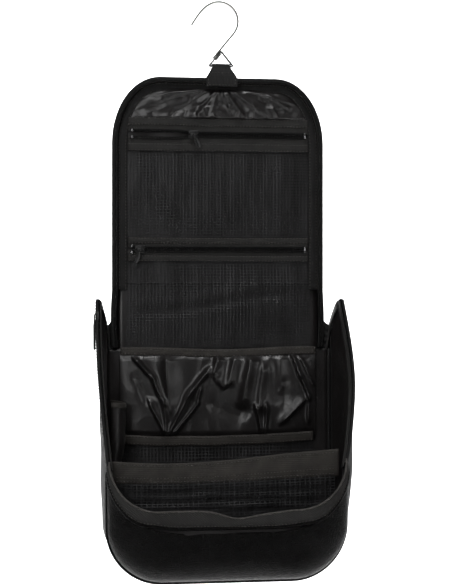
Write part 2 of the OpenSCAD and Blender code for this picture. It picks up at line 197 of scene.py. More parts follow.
class BagColours(bpy.types.PropertyGroup):
    satin: colour("Satin", (0.010, 0.0085, 0.0085), "Shiny lining")
    weave: colour("Outer cloth", (0.007, 0.0068, 0.0068), "Plain weave outside and binding")
    leather: colour("Faux leather", (0.0015, 0.0013, 0.0013), "Grained front panel")
    net: colour("Mesh", (0.016, 0.016, 0.017), "Pocket mesh")
    elastic: colour("Elastic", (0.036, 0.032, 0.028), "Pocket hems and seam band")
    tape: colour("Zip tape", (0.021, 0.020, 0.019), "Woven tape of the zips")
    coil: colour("Zip coil", (0.003, 0.003, 0.003), "Nylon coil of the zips")
    steel: colour("Steel", (0.27, 0.27, 0.26), "Brushed hook")
    bright: colour("Bright metal", (0.42, 0.42, 0.43), "Ring and zip stops")
    black_metal: colour("Black metal", (0.018, 0.018, 0.018), "Sliders and pulls")


def sizes():
    return bpy.context.scene.bag_sizes


def colours():
    return bpy.context.scene.bag_colours


# ---- Finishes ----
class Finish:
    """A material with one shader, and a chain of nodes that shape its colour and bump."""

    def __init__(self, name, base, rough, metal=0.0, specular=0.5, sheen=0.0):
        self.material = bpy.data.materials.new(name)
        self.material.use_nodes = True
        self.tree = self.material.node_tree
        self.shader = self.tree.nodes["Principled BSDF"]
        self.base = (*base, 1)
        self.shader.inputs["Base Color"].default_value = self.base
        self.shader.inputs["Roughness"].default_value = rough
        self.shader.inputs["Metallic"].default_value = metal
        self.shader.inputs["Specular IOR Level"].default_value = specular
        self.shader.inputs["Sheen Weight"].default_value = sheen
        self.shader.inputs["Sheen Roughness"].default_value = 0.4
        self.coords = self.node("ShaderNodeTexCoord")
        self.normal = None

    def node(self, kind, **values):
        made = self.tree.nodes.new(kind)
        for key, value in values.items():
            setattr(made, key, value)
        return made

    def link(self, out, into):
        self.tree.links.new(out, into)

    def mapped(self, scale=(1, 1, 1)):
        mapping = self.node("ShaderNodeMapping")
        mapping.inputs["Scale"].default_value = scale
        self.link(self.coords.outputs["Object"], mapping.inputs["Vector"])
        return mapping.outputs["Vector"]

    def wave(self, pitch, direction, warp=0.6):
        wave = self.node("ShaderNodeTexWave", wave_type="BANDS", bands_direction=direction)
        wave.inputs["Scale"].default_value = 0.314 / pitch
        wave.inputs["Distortion"].default_value = warp
        wave.inputs["Detail"].default_value = 1.0
        self.link(self.mapped(), wave.inputs["Vector"])
        return wave.outputs["Fac"]

    def clouds(self, size, detail=3.0, stretch=(1, 1, 1)):
        cloud = self.node("ShaderNodeTexNoise")
        cloud.inputs["Scale"].default_value = 1 / size
        cloud.inputs["Detail"].default_value = detail
        self.link(self.mapped(stretch), cloud.inputs["Vector"])
        return cloud.outputs["Fac"]

    def cells(self, size):
        cell = self.node("ShaderNodeTexVoronoi", feature="DISTANCE_TO_EDGE")
        cell.inputs["Scale"].default_value = 1 / size
        self.link(self.mapped(), cell.inputs["Vector"])
        return cell.outputs["Distance"]

    def sum(self, a, b, how="ADD"):
        made = self.node("ShaderNodeMath", operation=how)
        self.link(a, made.inputs[0])
        if isinstance(b, (int, float)):
            made.inputs[1].default_value = b
        else:
            self.link(b, made.inputs[1])
        return made.outputs[0]

    def ramp(self, fac, low, high, a=0.0, b=1.0):
        ramp = self.node("ShaderNodeValToRGB")
        ramp.color_ramp.elements[0].position = a
        ramp.color_ramp.elements[1].position = b
        ramp.color_ramp.elements[0].color = (*low, 1)
        ramp.color_ramp.elements[1].color = (*high, 1)
        self.link(fac, ramp.inputs["Fac"])
        return ramp.outputs["Color"]

    def bump(self, height, distance, strength=0.5):
        bump = self.node("ShaderNodeBump")
        bump.inputs["Distance"].default_value = distance
        bump.inputs["Strength"].default_value = strength
        self.link(height, bump.inputs["Height"])
        if self.normal is not None:
            self.link(self.normal, bump.inputs["Normal"])
        self.normal = bump.outputs["Normal"]

    def tint(self, fac, darker, lighter):
        low = tuple(c * darker for c in self.base[:3])
        high = tuple(min(c * lighter, 1) for c in self.base[:3])
        self.link(self.ramp(fac, low, high, 0.3, 0.7), self.shader.inputs["Base Color"])

    def rough(self, fac, low, high):
        made = self.node("ShaderNodeMapRange")
        made.inputs["To Min"].default_value = low
        made.inputs["To Max"].default_value = high
        self.link(fac, made.inputs["Value"])
        self.link(made.outputs["Result"], self.shader.inputs["Roughness"])

    def done(self):
        if self.normal is not None:
            self.link(self.normal, self.shader.inputs["Normal"])
        return self.material


def satin_finish():
    finish = Finish("satin", colours().satin, 0.36, specular=0.8, sheen=0.03)
    blotch = finish.clouds(0.03)
    finish.tint(blotch, 0.8, 1.25)
    finish.rough(blotch, 0.3, 0.42)
    finish.bump(finish.clouds(0.009, 4, stretch=(1, 1, 0.5)), 0.0009, 0.45)
    finish.bump(finish.sum(finish.wave(0.0006, "X"), finish.wave(0.0006, "Z")), 0.0001, 0.15)
    return finish.done()


def weave_finish(name="weave", crossways="X"):
    """Plain weave, whose threads run up and across the face that the cloth lies in."""
    finish = Finish(name, colours().weave, 0.72, specular=0.4, sheen=0.06)
    threads = finish.sum(finish.wave(0.0011, crossways), finish.wave(0.0011, "Z"))
    finish.tint(finish.clouds(0.02), 0.75, 1.3)
    finish.rough(finish.clouds(0.012), 0.6, 0.8)
    finish.bump(finish.clouds(0.02, 4), 0.0012, 0.4)
    finish.bump(threads, 0.0003, 0.5)
    return finish.done()


def side_weave_finish():
    return weave_finish("side_weave", "Y")


def leather_finish():
    finish = Finish("faux_leather", colours().leather, 0.42, specular=0.12)
    grain = finish.ramp(finish.cells(0.0017), (0, 0, 0), (1, 1, 1), 0.0, 0.35)
    finish.tint(finish.clouds(0.03), 0.8, 1.3)
    finish.rough(finish.clouds(0.006), 0.34, 0.5)
    finish.bump(finish.clouds(0.03, 3), 0.002, 0.3)
    finish.bump(grain, 0.0004, 0.9)
    return finish.done()


def net_finish():
    finish = Finish("net", colours().net, 0.5, specular=0.5, sheen=0.04)
    # Painted sheen and shade: vertical streaks from much darker to twice as light as the mesh's own colour.
    finish.tint(finish.clouds(0.016, 3, stretch=(1, 1, 0.3)), 0.3, 2.1)
    finish.rough(finish.clouds(0.004), 0.4, 0.62)
    finish.bump(finish.wave(0.0007, "Z"), 0.0002, 0.5)
    return finish.done()


def elastic_finish():
    finish = Finish("elastic", colours().elastic, 0.62, specular=0.4, sheen=0.12)
    finish.tint(finish.clouds(0.012), 0.75, 1.3)
    finish.rough(finish.clouds(0.004), 0.5, 0.7)
    finish.bump(finish.wave(0.0017, "Z"), 0.0003, 0.3)
    finish.bump(finish.wave(0.0011, "X"), 0.0002, 0.4)
    return finish.done()


def tape_finish():
    finish = Finish("zip_tape", colours().tape, 0.66, specular=0.4, sheen=0.08)
    finish.tint(finish.clouds(0.01), 0.75, 1.3)
    twill = finish.wave(0.0012, "DIAGONAL", warp=0.2)
    finish.bump(twill, 0.0003, 0.6)
    finish.bump(finish.clouds(0.012), 0.0006, 0.35)
    return finish.done()


def webbing_finish():
    finish = Finish("webbing", colours().weave, 0.6, specular=0.45, sheen=0.1)
    finish.tint(finish.clouds(0.008), 0.8, 1.5)
    finish.bump(finish.wave(0.0014, "X"), 0.0004, 0.7)
    finish.bump(finish.wave(0.0009, "Z"), 0.0002, 0.5)
    return finish.done()


def coil_finish():
    finish = Finish("zip_coil", colours().coil, 0.5, specular=0.25)
    finish.tint(finish.clouds(0.006), 0.7, 1.5)
    finish.rough(finish.clouds(0.002), 0.45, 0.6)
    finish.bump(finish.clouds(0.0008), 0.0001, 0.4)
    return finish.done()


def steel_finish():
    finish = Finish("brushed_steel", colours().steel, 0.4, metal=1.0)
    brush = finish.clouds(0.0006, 2, stretch=(1, 12, 1))
    finish.tint(finish.clouds(0.008), 0.82, 1.12)
    finish.rough(brush, 0.22, 0.42)
    finish.bump(brush, 0.00005, 0.3)
    return finish.done()


def bright_finish():
    finish = Finish("bright_metal", colours().bright, 0.2, metal=1.0)
    finish.rough(finish.clouds(0.002), 0.14, 0.3)
    finish.tint(finish.clouds(0.004), 0.85, 1.1)
    return finish.done()


def black_metal_finish():
    finish = Finish("black_metal", colours().black_metal, 0.34, metal=0.35, specular=0.6)
    wear = finish.clouds(0.0016, 5)
    finish.link(
        finish.ramp(wear, tuple(colours().black_metal), (0.09, 0.085, 0.08), 0.6, 0.85),
        finish.shader.inputs["Base Color"],
    )
    finish.rough(wear, 0.28, 0.5)
    finish.bump(finish.clouds(0.001), 0.00006, 0.4)
    return finish.done()


def thread_finish():
    finish = Finish("thread", (0.075, 0.070, 0.065), 0.55, specular=0.4)
    finish.tint(finish.clouds(0.002), 0.7, 1.4)
    finish.bump(finish.wave(0.0005, "DIAGONAL"), 0.0001, 0.6)
    return finish.done()


def floor_finish():
    finish = Finish("floor", (0.86, 0.86, 0.86), 0.7, specular=0.2)
    finish.tint(finish.clouds(0.6), 0.985, 1.01)
    return finish.done()


FINISHES = {
    "satin": satin_finish, "weave": weave_finish, "side_weave": side_weave_finish,
    "leather": leather_finish, "net": net_finish,
    "elastic": elastic_finish, "tape": tape_finish, "webbing": webbing_finish,
    "coil": coil_finish, "steel": steel_finish, "bright": bright_finish,
    "black_metal": black_metal_finish, "thread": thread_finish, "floor": floor_finish,
}
MADE = {}


def finish_named(name):
    if name not in MADE:
        MADE[name] = FINISHES[name]()
    return MADE[name]


# ---- Ways to make a piece ----
def piece(name, bm, look, body=None):
    """Turns a bmesh into a named object with a finish, riding on a body."""
    mesh = bpy.data.meshes.new(name)
    bm.to_mesh(mesh)
    bm.free()
    made = bpy.data.objects.new(name, mesh)
    bpy.context.scene.collection.objects.link(made)
    made.data.materials.append(finish_named(look))
    made.data.shade_smooth()
    if body:
        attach(made, body)
    return made


def across(bm, across_steps, up_steps, shape):
    """A grid whose points go where shape(u, v) says, with u and v from 0 to 1."""
    made = bmesh.ops.create_grid(bm, x_segments=across_steps, y_segments=up_steps, size=0.5)
    for vert in made["verts"]:
        vert.co = shape(vert.co.x + 0.5, vert.co.y + 0.5)
    return made["verts"]


def outwards(bm, toward=None):
    """Points the faces outwards, or towards a direction on an open sheet."""
    bmesh.ops.recalc_face_normals(bm, faces=bm.faces)
    if toward is not None:
        total = sum((f.normal * f.calc_area() for f in bm.faces), Vector())
        if total.dot(Vector(toward)) < 0:
            bmesh.ops.reverse_faces(bm, faces=bm.faces)


def thicken(bm, depth, toward):
    """Gives an open sheet a wall on the side away from toward."""
    outwards(bm, toward)
    bmesh.ops.solidify(bm, geom=list(bm.faces), thickness=depth)
    outwards(bm)


def frames_along(points, side):
    """A matrix for each point of a path: Y runs along it, X keeps near to a direction, or to side(point)."""
    made = []
    for i, point in enumerate(points):
        after = points[min(i + 1, len(points) - 1)]
        before = points[max(i - 1, 0)]
        run = (after - before).normalized()
        out = Vector(side(point) if callable(side) else side)
        out = (out - run * out.dot(run)).normalized()
        up = out.cross(run)
        made.append(Matrix((
            (out.x, run.x, up.x, point.x),
            (out.y, run.y, up.y, point.y),
            (out.z, run.z, up.z, point.z),
            (0, 0, 0, 1),
        )))
    return made


def sweep(bm, points, side, profile):
    """Runs a closed profile of (x, z) points along a path, and closes both ends."""
    frames = frames_along(points, side)
    first = [bm.verts.new(frames[0] @ Vector((x, 0, z))) for x, z in profile]
    ring = [bm.edges.new((a, b)) for a, b in zip(first, first[1:] + first[:1])]
    bm.faces.new(first)
    for before, after in zip(frames, frames[1:]):
        grown = bmesh.ops.extrude_edge_only(bm, edges=ring)["geom"]
        verts = [g for g in grown if isinstance(g, bmesh.types.BMVert)]
        ring = [g for g in grown if isinstance(g, bmesh.types.BMEdge)
                and g.verts[0] in verts and g.verts[1] in verts]
        bmesh.ops.transform(bm, matrix=after @ before.inverted(), verts=verts)
    bmesh.ops.holes_fill(bm, edges=ring, sides=0)


def swept(name, points, side, profile, look, body=None):
    """A piece made of one profile along a path."""
    bm = bmesh.new()
    sweep(bm, points, side, profile)
    outwards(bm)
    return piece(name, bm, look, body)


def tube_profile(radius, sides):
    """A round profile."""
    return [(radius * math.cos(2 * math.pi * i / sides), radius * math.sin(2 * math.pi * i / sides))
            for i in range(sides)]


def band_profile(width, height, corner):
    """A flat band with soft edges, whose ends keep that share of its height."""
    points = []
    for i in range(9):
        t = -1 + i / 4
        edge = 1 - abs(t) ** 4
        points.append((t * width / 2, height * (corner + (1 - corner) * edge) / 2))
    points += [(x, -height / 2 * (corner + (1 - corner) * (1 - abs(2 * x / width) ** 4)))
               for x, _ in reversed(points)]
    return points


def box_at(bm, at, size, soft, segments=3):
    """A box with soft edges."""
    matrix = Matrix.Translation(at) @ Matrix.Diagonal((*size, 1))
    made = bmesh.ops.create_cube(bm, size=1, matrix=matrix)["verts"]
    edges = list({e for v in made for e in v.link_edges})
    bmesh.ops.bevel(bm, geom=edges, offset=soft, segments=segments, profile=0.5,
                    affect="EDGES", material=-1)


def paced(points, pitch):
    """Points at an even pitch along a path, each with its direction."""
    made = []
    left = pitch / 2
    for a, b in zip(points, points[1:]):
        step = (b - a).length
        while left <= step and step > 0:
            made.append((a.lerp(b, left / step), (b - a).normalized()))
            left += pitch
        left -= step
    return made


def beads(bm, points, out, pitch, size, lift=0.0):
    """Low beads at an even pitch along a path, each with its size across, along and off the cloth."""
    for at, run in paced(points, pitch):
        face = Vector(out)
        face = (face - run * face.dot(run)).normalized()
        turn = Matrix((face.cross(run), run, face)).transposed()
        matrix = Matrix.Translation(at + face * lift) @ turn.to_4x4() @ Matrix.Diagonal((*size, 1))
        bmesh.ops.create_icosphere(bm, subdivisions=1, radius=1, matrix=matrix)


def coil(bm, points, out, width, height):
    """Turns of a nylon coil, laid across a path."""
    pitch = sizes().tooth_pitch
    beads(bm, points, out, pitch, (width / 2, pitch * 0.42, height / 2))


def stitches(bm, points, out):
    """A row of short threads along a path, lying on the cloth."""
    pitch = sizes().stitch
    thick = 0.35 * MM
    beads(bm, points, out, pitch, (thick, pitch * 0.34, thick), lift=thick * 0.4)


def net(bm, cells_across, cells_up, shape, thread):
    """Mesh cloth: a grid with a hole in each cell. Returns the area of its threads."""
    across(bm, cells_across, cells_up, shape)
    bm.normal_update()
    cells = list(bm.faces)
    bmesh.ops.inset_individual(bm, faces=cells, thickness=thread * 0.5, use_even_offset=False)
    bmesh.ops.delete(bm, geom=cells, context="FACES")
    return sum(f.calc_area() for f in bm.faces)


def moved(points, x, y, z):
    """The points, all moved the same way."""
    step = Vector((x, y, z))
    return [point + step for point in points]


def line(a, b, steps=40, bend=None):
    """Points from a to b, each moved by bend(t) if it is given."""
    return [a.lerp(b, i / steps) + (bend(i / steps) if bend else Vector()) for i in range(steps + 1)]


# ---- Outlines of the cover and the compartment ----
def cover_half(z, inset=0.0):
    """Half the cover's width at a height, inside its rounded top corners."""
    low = COVER_TOP - CORNER_Z
    if z <= low:
        return COVER_X - inset
    t = min((z - low) / (CORNER_Z - inset), 1.0)
    return COVER_X - CORNER_X + (CORNER_X - inset) * math.sqrt(1 - t * t)


def cover_path(inset, f, low=FOLD_Z + 10 * MM, steps=18):
    """The cover's outline from its lower left, over the top and down to its lower right."""
    centre_z = COVER_TOP - CORNER_Z
    points = line(place(inset - COVER_X, f, low), place(inset - COVER_X, f, centre_z), 40)[:-1]
    for i in range(steps + 1):
        a = math.pi - i * math.pi / 2 / steps
        points.append(place(CORNER_X - COVER_X + (CORNER_X - inset) * math.cos(a), f,
                            centre_z + (CORNER_Z - inset) * math.sin(a)))
    points += line(points[-1], place(COVER_X - CORNER_X, f, COVER_TOP - inset), 24)[1:-1]
    for i in range(steps + 1):
        a = math.pi / 2 - i * math.pi / 2 / steps
        points.append(place(COVER_X - CORNER_X + (CORNER_X - inset) * math.cos(a), f,
                            centre_z + (CORNER_Z - inset) * math.sin(a)))
    points += line(points[-1], place(COVER_X - inset, f, low), 40)[1:]
    return points


def outer_side(point):
    """Points away from the middle of the cover."""
    return Vector((point.x, 0, max(point.z - (COVER_TOP - CORNER_Z), 0) * 1.6))


def tub_half(z, inset=0.0):
    """Half the compartment's width at a height, inside its rounded bottom corners."""
    high = FLOOR_Z + TUB_R
    if z >= high:
        return SIDE_X - inset
    t = min((high - z) / (TUB_R - inset), 1.0)
    return SIDE_X - TUB_R + (TUB_R - inset) * math.sqrt(1 - t * t)


def u_point(s, top_z, inset=0.0):
    """A point (x, z, outward x, outward z) of the half outline, s = 0 at the bottom middle, 1 at top_z."""
    flat = SIDE_X - TUB_R
    round_l = math.pi / 2 * TUB_R
    total = flat + round_l + top_z - (FLOOR_Z + TUB_R)
    run = s * total
    if run <= flat:
        return run, FLOOR_Z + inset, 0.0, -1.0
    if run <= flat + round_l:
        a = (run - flat) / TUB_R
        r = TUB_R - inset
        return flat + r * math.sin(a), FLOOR_Z + TUB_R - r * math.cos(a), math.sin(a), -math.cos(a)
    return SIDE_X - inset, FLOOR_Z + TUB_R + run - flat - round_l, 1.0, 0.0


def side_top(f):
    """Height of a side's free edge: up to the wing's peak behind, then along the mouth."""
    peak_f = 15 * MM
    if f < peak_f:
        return mix(SEAM_Z, mouth_z(peak_f, 3 * MM), math.sin(smooth(f / peak_f) * math.pi / 2))
    return mouth_z(f, 3 * MM)


def swell(side, f, z):
    """How far a side bulges outwards between its seams."""
    bulge = sizes().bulge_right if side > 0 else sizes().bulge_left
    along = max(min(f / SEAM_F, 1.0), 0.0)
    up = smooth((z - FLOOR_Z) / (100 * MM)) * (1 - 0.55 * smooth((z - FOLD_Z + 90 * MM) / (110 * MM)))
    return bulge * math.sin(math.pi * along) ** 0.7 * up + 1.5 * MM * math.sin(math.pi * along)


def side_point(side, f, z, x, out_x, out_z):
    """A point of a side after its bulge and the wing's splay."""
    grow = swell(side, f, z)
    above = above_chord(f, z)
    if above > 0:
        lean = sizes().wing_splay * smooth(above / (30 * MM))
        x += above * math.sin(lean)
    x += out_x * grow
    z += out_z * min(grow, 3 * MM)
    return place(side * x, f, z)


def lean_with_wing(made):
    """Bakes a piece's transform into its mesh; the start of the line that the wing leans about is found but
    not used.
    """
    start = place(0, CHORD_A[0], CHORD_A[1])
    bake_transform(made)


def lip_drop(t):
    """How far below the lip's top the leather starts: more in the middle than at the sides."""
    return mix(15 * MM, 8 * MM, smooth((abs(t) - 0.35) / 0.5))


def lip_roll(t):
    """How far the leather rolls inwards under the lip: most in the middle."""
    return 6 * MM * (1 - smooth((abs(t) - 0.3) / 0.45))


def lip_point(t, inset=0.0, down=0.0):
    """A point of the front panel's lip, from the left (-1) round the front to the right (1)."""
    a = abs(t)
    wall = SIDE_X - inset
    depth = DEPTH - SEAM_F
    share = 0.55
    if a <= share:
        x, f = (wall - CORNER_X + inset) * a / share, DEPTH - inset
    else:
        turn = (a - share) / (1 - share) * math.pi / 2
        x = wall - (CORNER_X - inset) * (1 - math.sin(turn))
        f = SEAM_F + (depth - inset) * math.cos(turn)
    return place(math.copysign(x, t), f, mouth_z(f, down))


# ---- Outer cloth ----
class BAG_OT_outer_back(bpy.types.Operator):
    """Outer skin of the cover and the back, one padded cloth that runs over the fold"""
    bl_idname = "bag.outer_back"
    bl_label = "Outer back"

    def execute(self, context):
        bm = bmesh.new()

        def half(z):
            low = tub_half(z, 1.5 * MM)
            high = cover_half(z, 1.5 * MM)
            return mix(low, high, smooth((z - SEAM_Z + 8 * MM) / (10 * MM)))

        def shape(u, v):
            rise = 0.5 - 0.5 * math.cos(math.pi * v)
            z = mix(FLOOR_Z + 1.5 * MM, COVER_TOP - 1.5 * MM, mix(v, rise, 0.75))
            x = (2 * u - 1) * half(z)
            edge = (1 - abs(2 * u - 1) ** 6) * (1 - abs(2 * v - 1) ** 10)
            fold = math.exp(-((z - FOLD_Z) / (9 * MM)) ** 2)
            ripple = wander(x, z, 0.07, 3) * 1.6 + wander(x, z * 3, 0.05, 5) * fold * 1.2
            return place(x, (-3.2 * edge + ripple * edge + 2.5 * fold) * MM, z)

        across(bm, 44, 120, shape)
        thicken(bm, 1.6 * MM, (0, 1, 0))
        made = piece("outer_back", bm, "weave")
        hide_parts("cover_skin", "back_skin", "fold_strip")
        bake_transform(made)
        return {"FINISHED"}


class BAG_OT_sides(bpy.types.Operator):
    """Side gussets that sweep under the base and up into the wings"""
    bl_idname = "bag.sides"
    bl_label = "Sides and wings"

    def execute(self, context):
        for side, word in ((-1, "left"), (1, "right")):
            self.skin(side, word)
            self.lining(side, word)
        return {"FINISHED"}

    def wall(self, bm, side, inset, wrinkle, seed, back_f):
        def shape(u, v):
            f = mix(back_f, SEAM_F - 1 * MM, v)
            x, z, out_x, out_z = u_point(u, side_top(f), inset)
            soft = math.sin(math.pi * min(max(v, 0), 1)) * smooth(u * 5)
            fold = wander(f + side, z * 0.8, 0.03, seed) + 0.6 * crease(f * 1.4, z * 0.5, 0.045, seed + 3)
            gather = math.sin(f * 420 + 2 * wander(f, z, 0.02, seed)) * smooth(
                (z - FOLD_Z + 70 * MM) / (60 * MM)) * 0.8
            return side_point(side, f, z, x + (fold * wrinkle + gather * wrinkle) * soft * abs(out_x),
                              out_x, out_z)
        across(bm, 110, 40, shape)

    def skin(self, side, word):
        bm = bmesh.new()
        self.wall(bm, side, 0.0, 1.5 * MM, 11 + side, 1 * MM)
        thicken(bm, 1.4 * MM, (side, 0, 0))
        made = piece(f"side_{word}", bm, "side_weave")
        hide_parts(f"side_skin_{word}", f"wing_{word}")
        if side < 0:
            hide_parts("base_skin")
        lean_with_wing(made)

    def lining(self, side, word):
        bm = bmesh.new()
        self.wall(bm, side, 3.2 * MM, 1.8 * MM, 21 + side, 7 * MM)
        thicken(bm, 0.5 * MM, (-side, 0, 0))
        made = piece(f"side_lining_soft_{word}", bm, "satin")
        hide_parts(f"side_lining_{word}", f"wing_lining_{word}")
        if side < 0:
            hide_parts("base_lining", "base_board")
        lean_with_wing(made)


class BAG_OT_front(bpy.types.Operator):
    """Crowned faux leather front, its lining, and the piping round it"""
    bl_idname = "bag.front"
    bl_label = "Front panel"

    def surface(self, x, z, inset=0.0):
        wall = SIDE_X - inset
        qx = abs(x) - (SIDE_X - TUB_R)
        qz = FLOOR_Z + TUB_R - z
        if qx > 0 and qz > 0:
            gap = TUB_R - inset - math.hypot(qx, qz)
            share = (qx / max(math.hypot(qx, qz), 1e-9)) ** 2
        elif wall - abs(x) < z - FLOOR_Z - inset:
            gap, share = wall - abs(x), 1.0
        else:
            gap, share = z - FLOOR_Z - inset, 0.0
        reach = mix(24 * MM, CORNER_X, share)
        t = min(max(gap / reach, 0.0), 1.0)
        return SEAM_F + (DEPTH - SEAM_F - inset) * math.sqrt(1 - (1 - t) ** 2)

    def shell(self, bm, inset, wrinkle, seed, steps):
        def shape(u, v):
            x = (SIDE_X - inset) * math.sin((u - 0.5) * math.pi)
            low = FLOOR_Z + inset
            over = abs(x) - (SIDE_X - TUB_R)
            if over > 0:
                low = FLOOR_Z + TUB_R - math.sqrt(max((TUB_R - inset) ** 2 - over ** 2, 0))
            f_top = self.surface(x, FOLD_Z, inset)
            high = mouth_z(f_top, lip_drop(x / SIDE_X) * MOUTH_OUT[1])
            z = mix(low, high, v)
            near_lip = max(1 - (high - z) / (17 * MM), 0)
            f = self.surface(x, z, inset) - lip_roll(x / SIDE_X) * near_lip ** 1.7
            soft = math.sin(math.pi * v) ** 0.6 * math.cos((u - 0.5) * math.pi) ** 0.5
            fold = wander(x, z * 1.4, 0.035, seed) + 0.7 * crease(x * 0.8 + z, z - x * 0.4, 0.06, seed)
            grow = swell(1 if x > 0 else -1, SEAM_F * 0.93, z) * smooth(abs(x) / SIDE_X * 2 - 1)
            return place(x + math.copysign(grow, x) * (1 - v * 0.3), f + (fold * wrinkle - wrinkle) * soft, z)
        across(bm, steps, 34, shape)

    def execute(self, context):
        bm = bmesh.new()
        self.shell(bm, 0.0, 1.3 * MM, 31, 90)
        thicken(bm, 1.8 * MM, (0, -1, 0))
        made = piece("front_panel_leather", bm, "leather", "compartment")
        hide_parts("front_skin", "front_foam")
        bm = bmesh.new()
        self.shell(bm, 5 * MM, 1.6 * MM, 41, 60)
        thicken(bm, 0.6 * MM, (0, 1, 0))
        made = piece("front_lining_satin", bm, "satin", "compartment")
        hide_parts("front_lining")
        self.piping(SEAM_F - 1.2 * MM, mouth_z(SEAM_F) - 10 * MM, 1.9 * MM)
        return {"FINISHED"}

    def piping(self, f, top, radius):
        """A leather covered cord round the edge, proud of the side."""
        points = []
        for i in range(-70, 71):
            x, z, out_x, out_z = u_point(abs(i) / 70, top)
            side = -1 if i < 0 else 1
            grow = swell(side, f, z) + 0.6 * MM
            points.append(place(side * (x + out_x * grow), f, z + out_z * 0.6 * MM))
        made = swept("front_edge_piping", points, (0, -1, 0.01), tube_profile(radius, 10),
                     "leather", "compartment")
        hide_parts("front_piping")


class BAG_OT_back_edge(bpy.types.Operator):
    """Binding tape round the edge of the back, and the seam band at the zip's end"""
    bl_idname = "bag.back_edge"
    bl_label = "Back binding"

    def execute(self, context):
        points = []
        for i in range(-60, 61):
            x, z = u_point(abs(i) / 60, SEAM_Z - 2 * MM)[:2]
            points.append(place(math.copysign(x, i), 3 * MM, z))
        profile = band_profile(3 * MM, 7.4 * MM, 0.6)
        made = swept("back_edge_binding", points, lambda p: (p.x, 0, min(p.z - FLOOR_Z - TUB_R, 0)),
                     profile, "weave", "compartment")
        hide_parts("back_binding")
        lo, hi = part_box("seam_band")

        def bend(t):
            return Vector((0, -1.2 * MM * math.sin(math.pi * t), (-1.5 * math.sin(math.pi * t)
                           + 0.7 * math.sin(9 * t)) * MM))
        path = line(place(lo.x, 8 * MM, SEAM_Z - 3.5 * MM), place(hi.x, 8 * MM, SEAM_Z - 3.5 * MM), 60, bend)
        profile = band_profile(2.6 * MM, 7.5 * MM, 0.5)
        band = swept("seam_band_soft", path, (0, -1, 0), profile, "elastic", "compartment")
        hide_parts("seam_band")
        bm = bmesh.new()
        for drop in (1.2, 5.8):
            row = moved(path, 0, -1.3 * MM, (3.5 - drop) * MM)
            stitches(bm, row, (0, -1, 0))
        piece("seam_band_stitches", bm, "thread", "compartment")
        return {"FINISHED"}


# ---- Cover ----
class BAG_OT_cover_rim(bpy.types.Operator):
    """Padded rim of the cover: binding, standing zip tape, coil and inner facing"""
    bl_idname = "bag.cover_rim"
    bl_label = "Cover rim"

    def execute(self, context):
        path = cover_path(2.0 * MM, 4.4 * MM)
        profile = band_profile(4.6 * MM, 9.6 * MM, 0.55)
        rim = swept("cover_rim_binding", path, outer_side, profile, "weave", "cover")
        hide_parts("cover_binding")
        path = cover_path(4.4 * MM, 9.6 * MM)
        path = [p + Vector((0, wander(p.x, p.z, 0.03, 2) * 0.5 * MM, 0)) for p in path]
        profile = band_profile(1.5 * MM, 5.6 * MM, 0.6)
        tape = swept("cover_rim_tape", path, outer_side, profile, "tape", "cover")
        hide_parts("cover_zip_tape")
        bm = bmesh.new()
        path = cover_path(4.2 * MM, 12.6 * MM)
        coil(bm, path, (0, -1, 0), 3.0 * MM, 2.4 * MM)
        teeth = piece("cover_rim_coil", bm, "coil", "cover")
        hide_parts("cover_zip_coil")
        self.facing()
        bm = bmesh.new()
        stitches(bm, cover_path(6.6 * MM, 9.1 * MM), (0, -1, 0))
        stitches(bm, cover_path(12.6 * MM, 8.3 * MM), (0, -1, 0))
        piece("cover_rim_stitches", bm, "thread", "cover")
        return {"FINISHED"}

    def facing(self):
        """The dark cloth strip between the rim and the pockets."""
        path = cover_path(9.4 * MM, 7.2 * MM)
        path = [p + Vector((0, wander(p.x, p.z, 0.02, 8) * 0.5 * MM, 0)) for p in path]
        profile = band_profile(1.6 * MM, 8.6 * MM, 0.5)
        made = swept("cover_facing_strip", path, (0, -1, 0), profile, "weave", "cover")
        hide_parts("cover_facing")


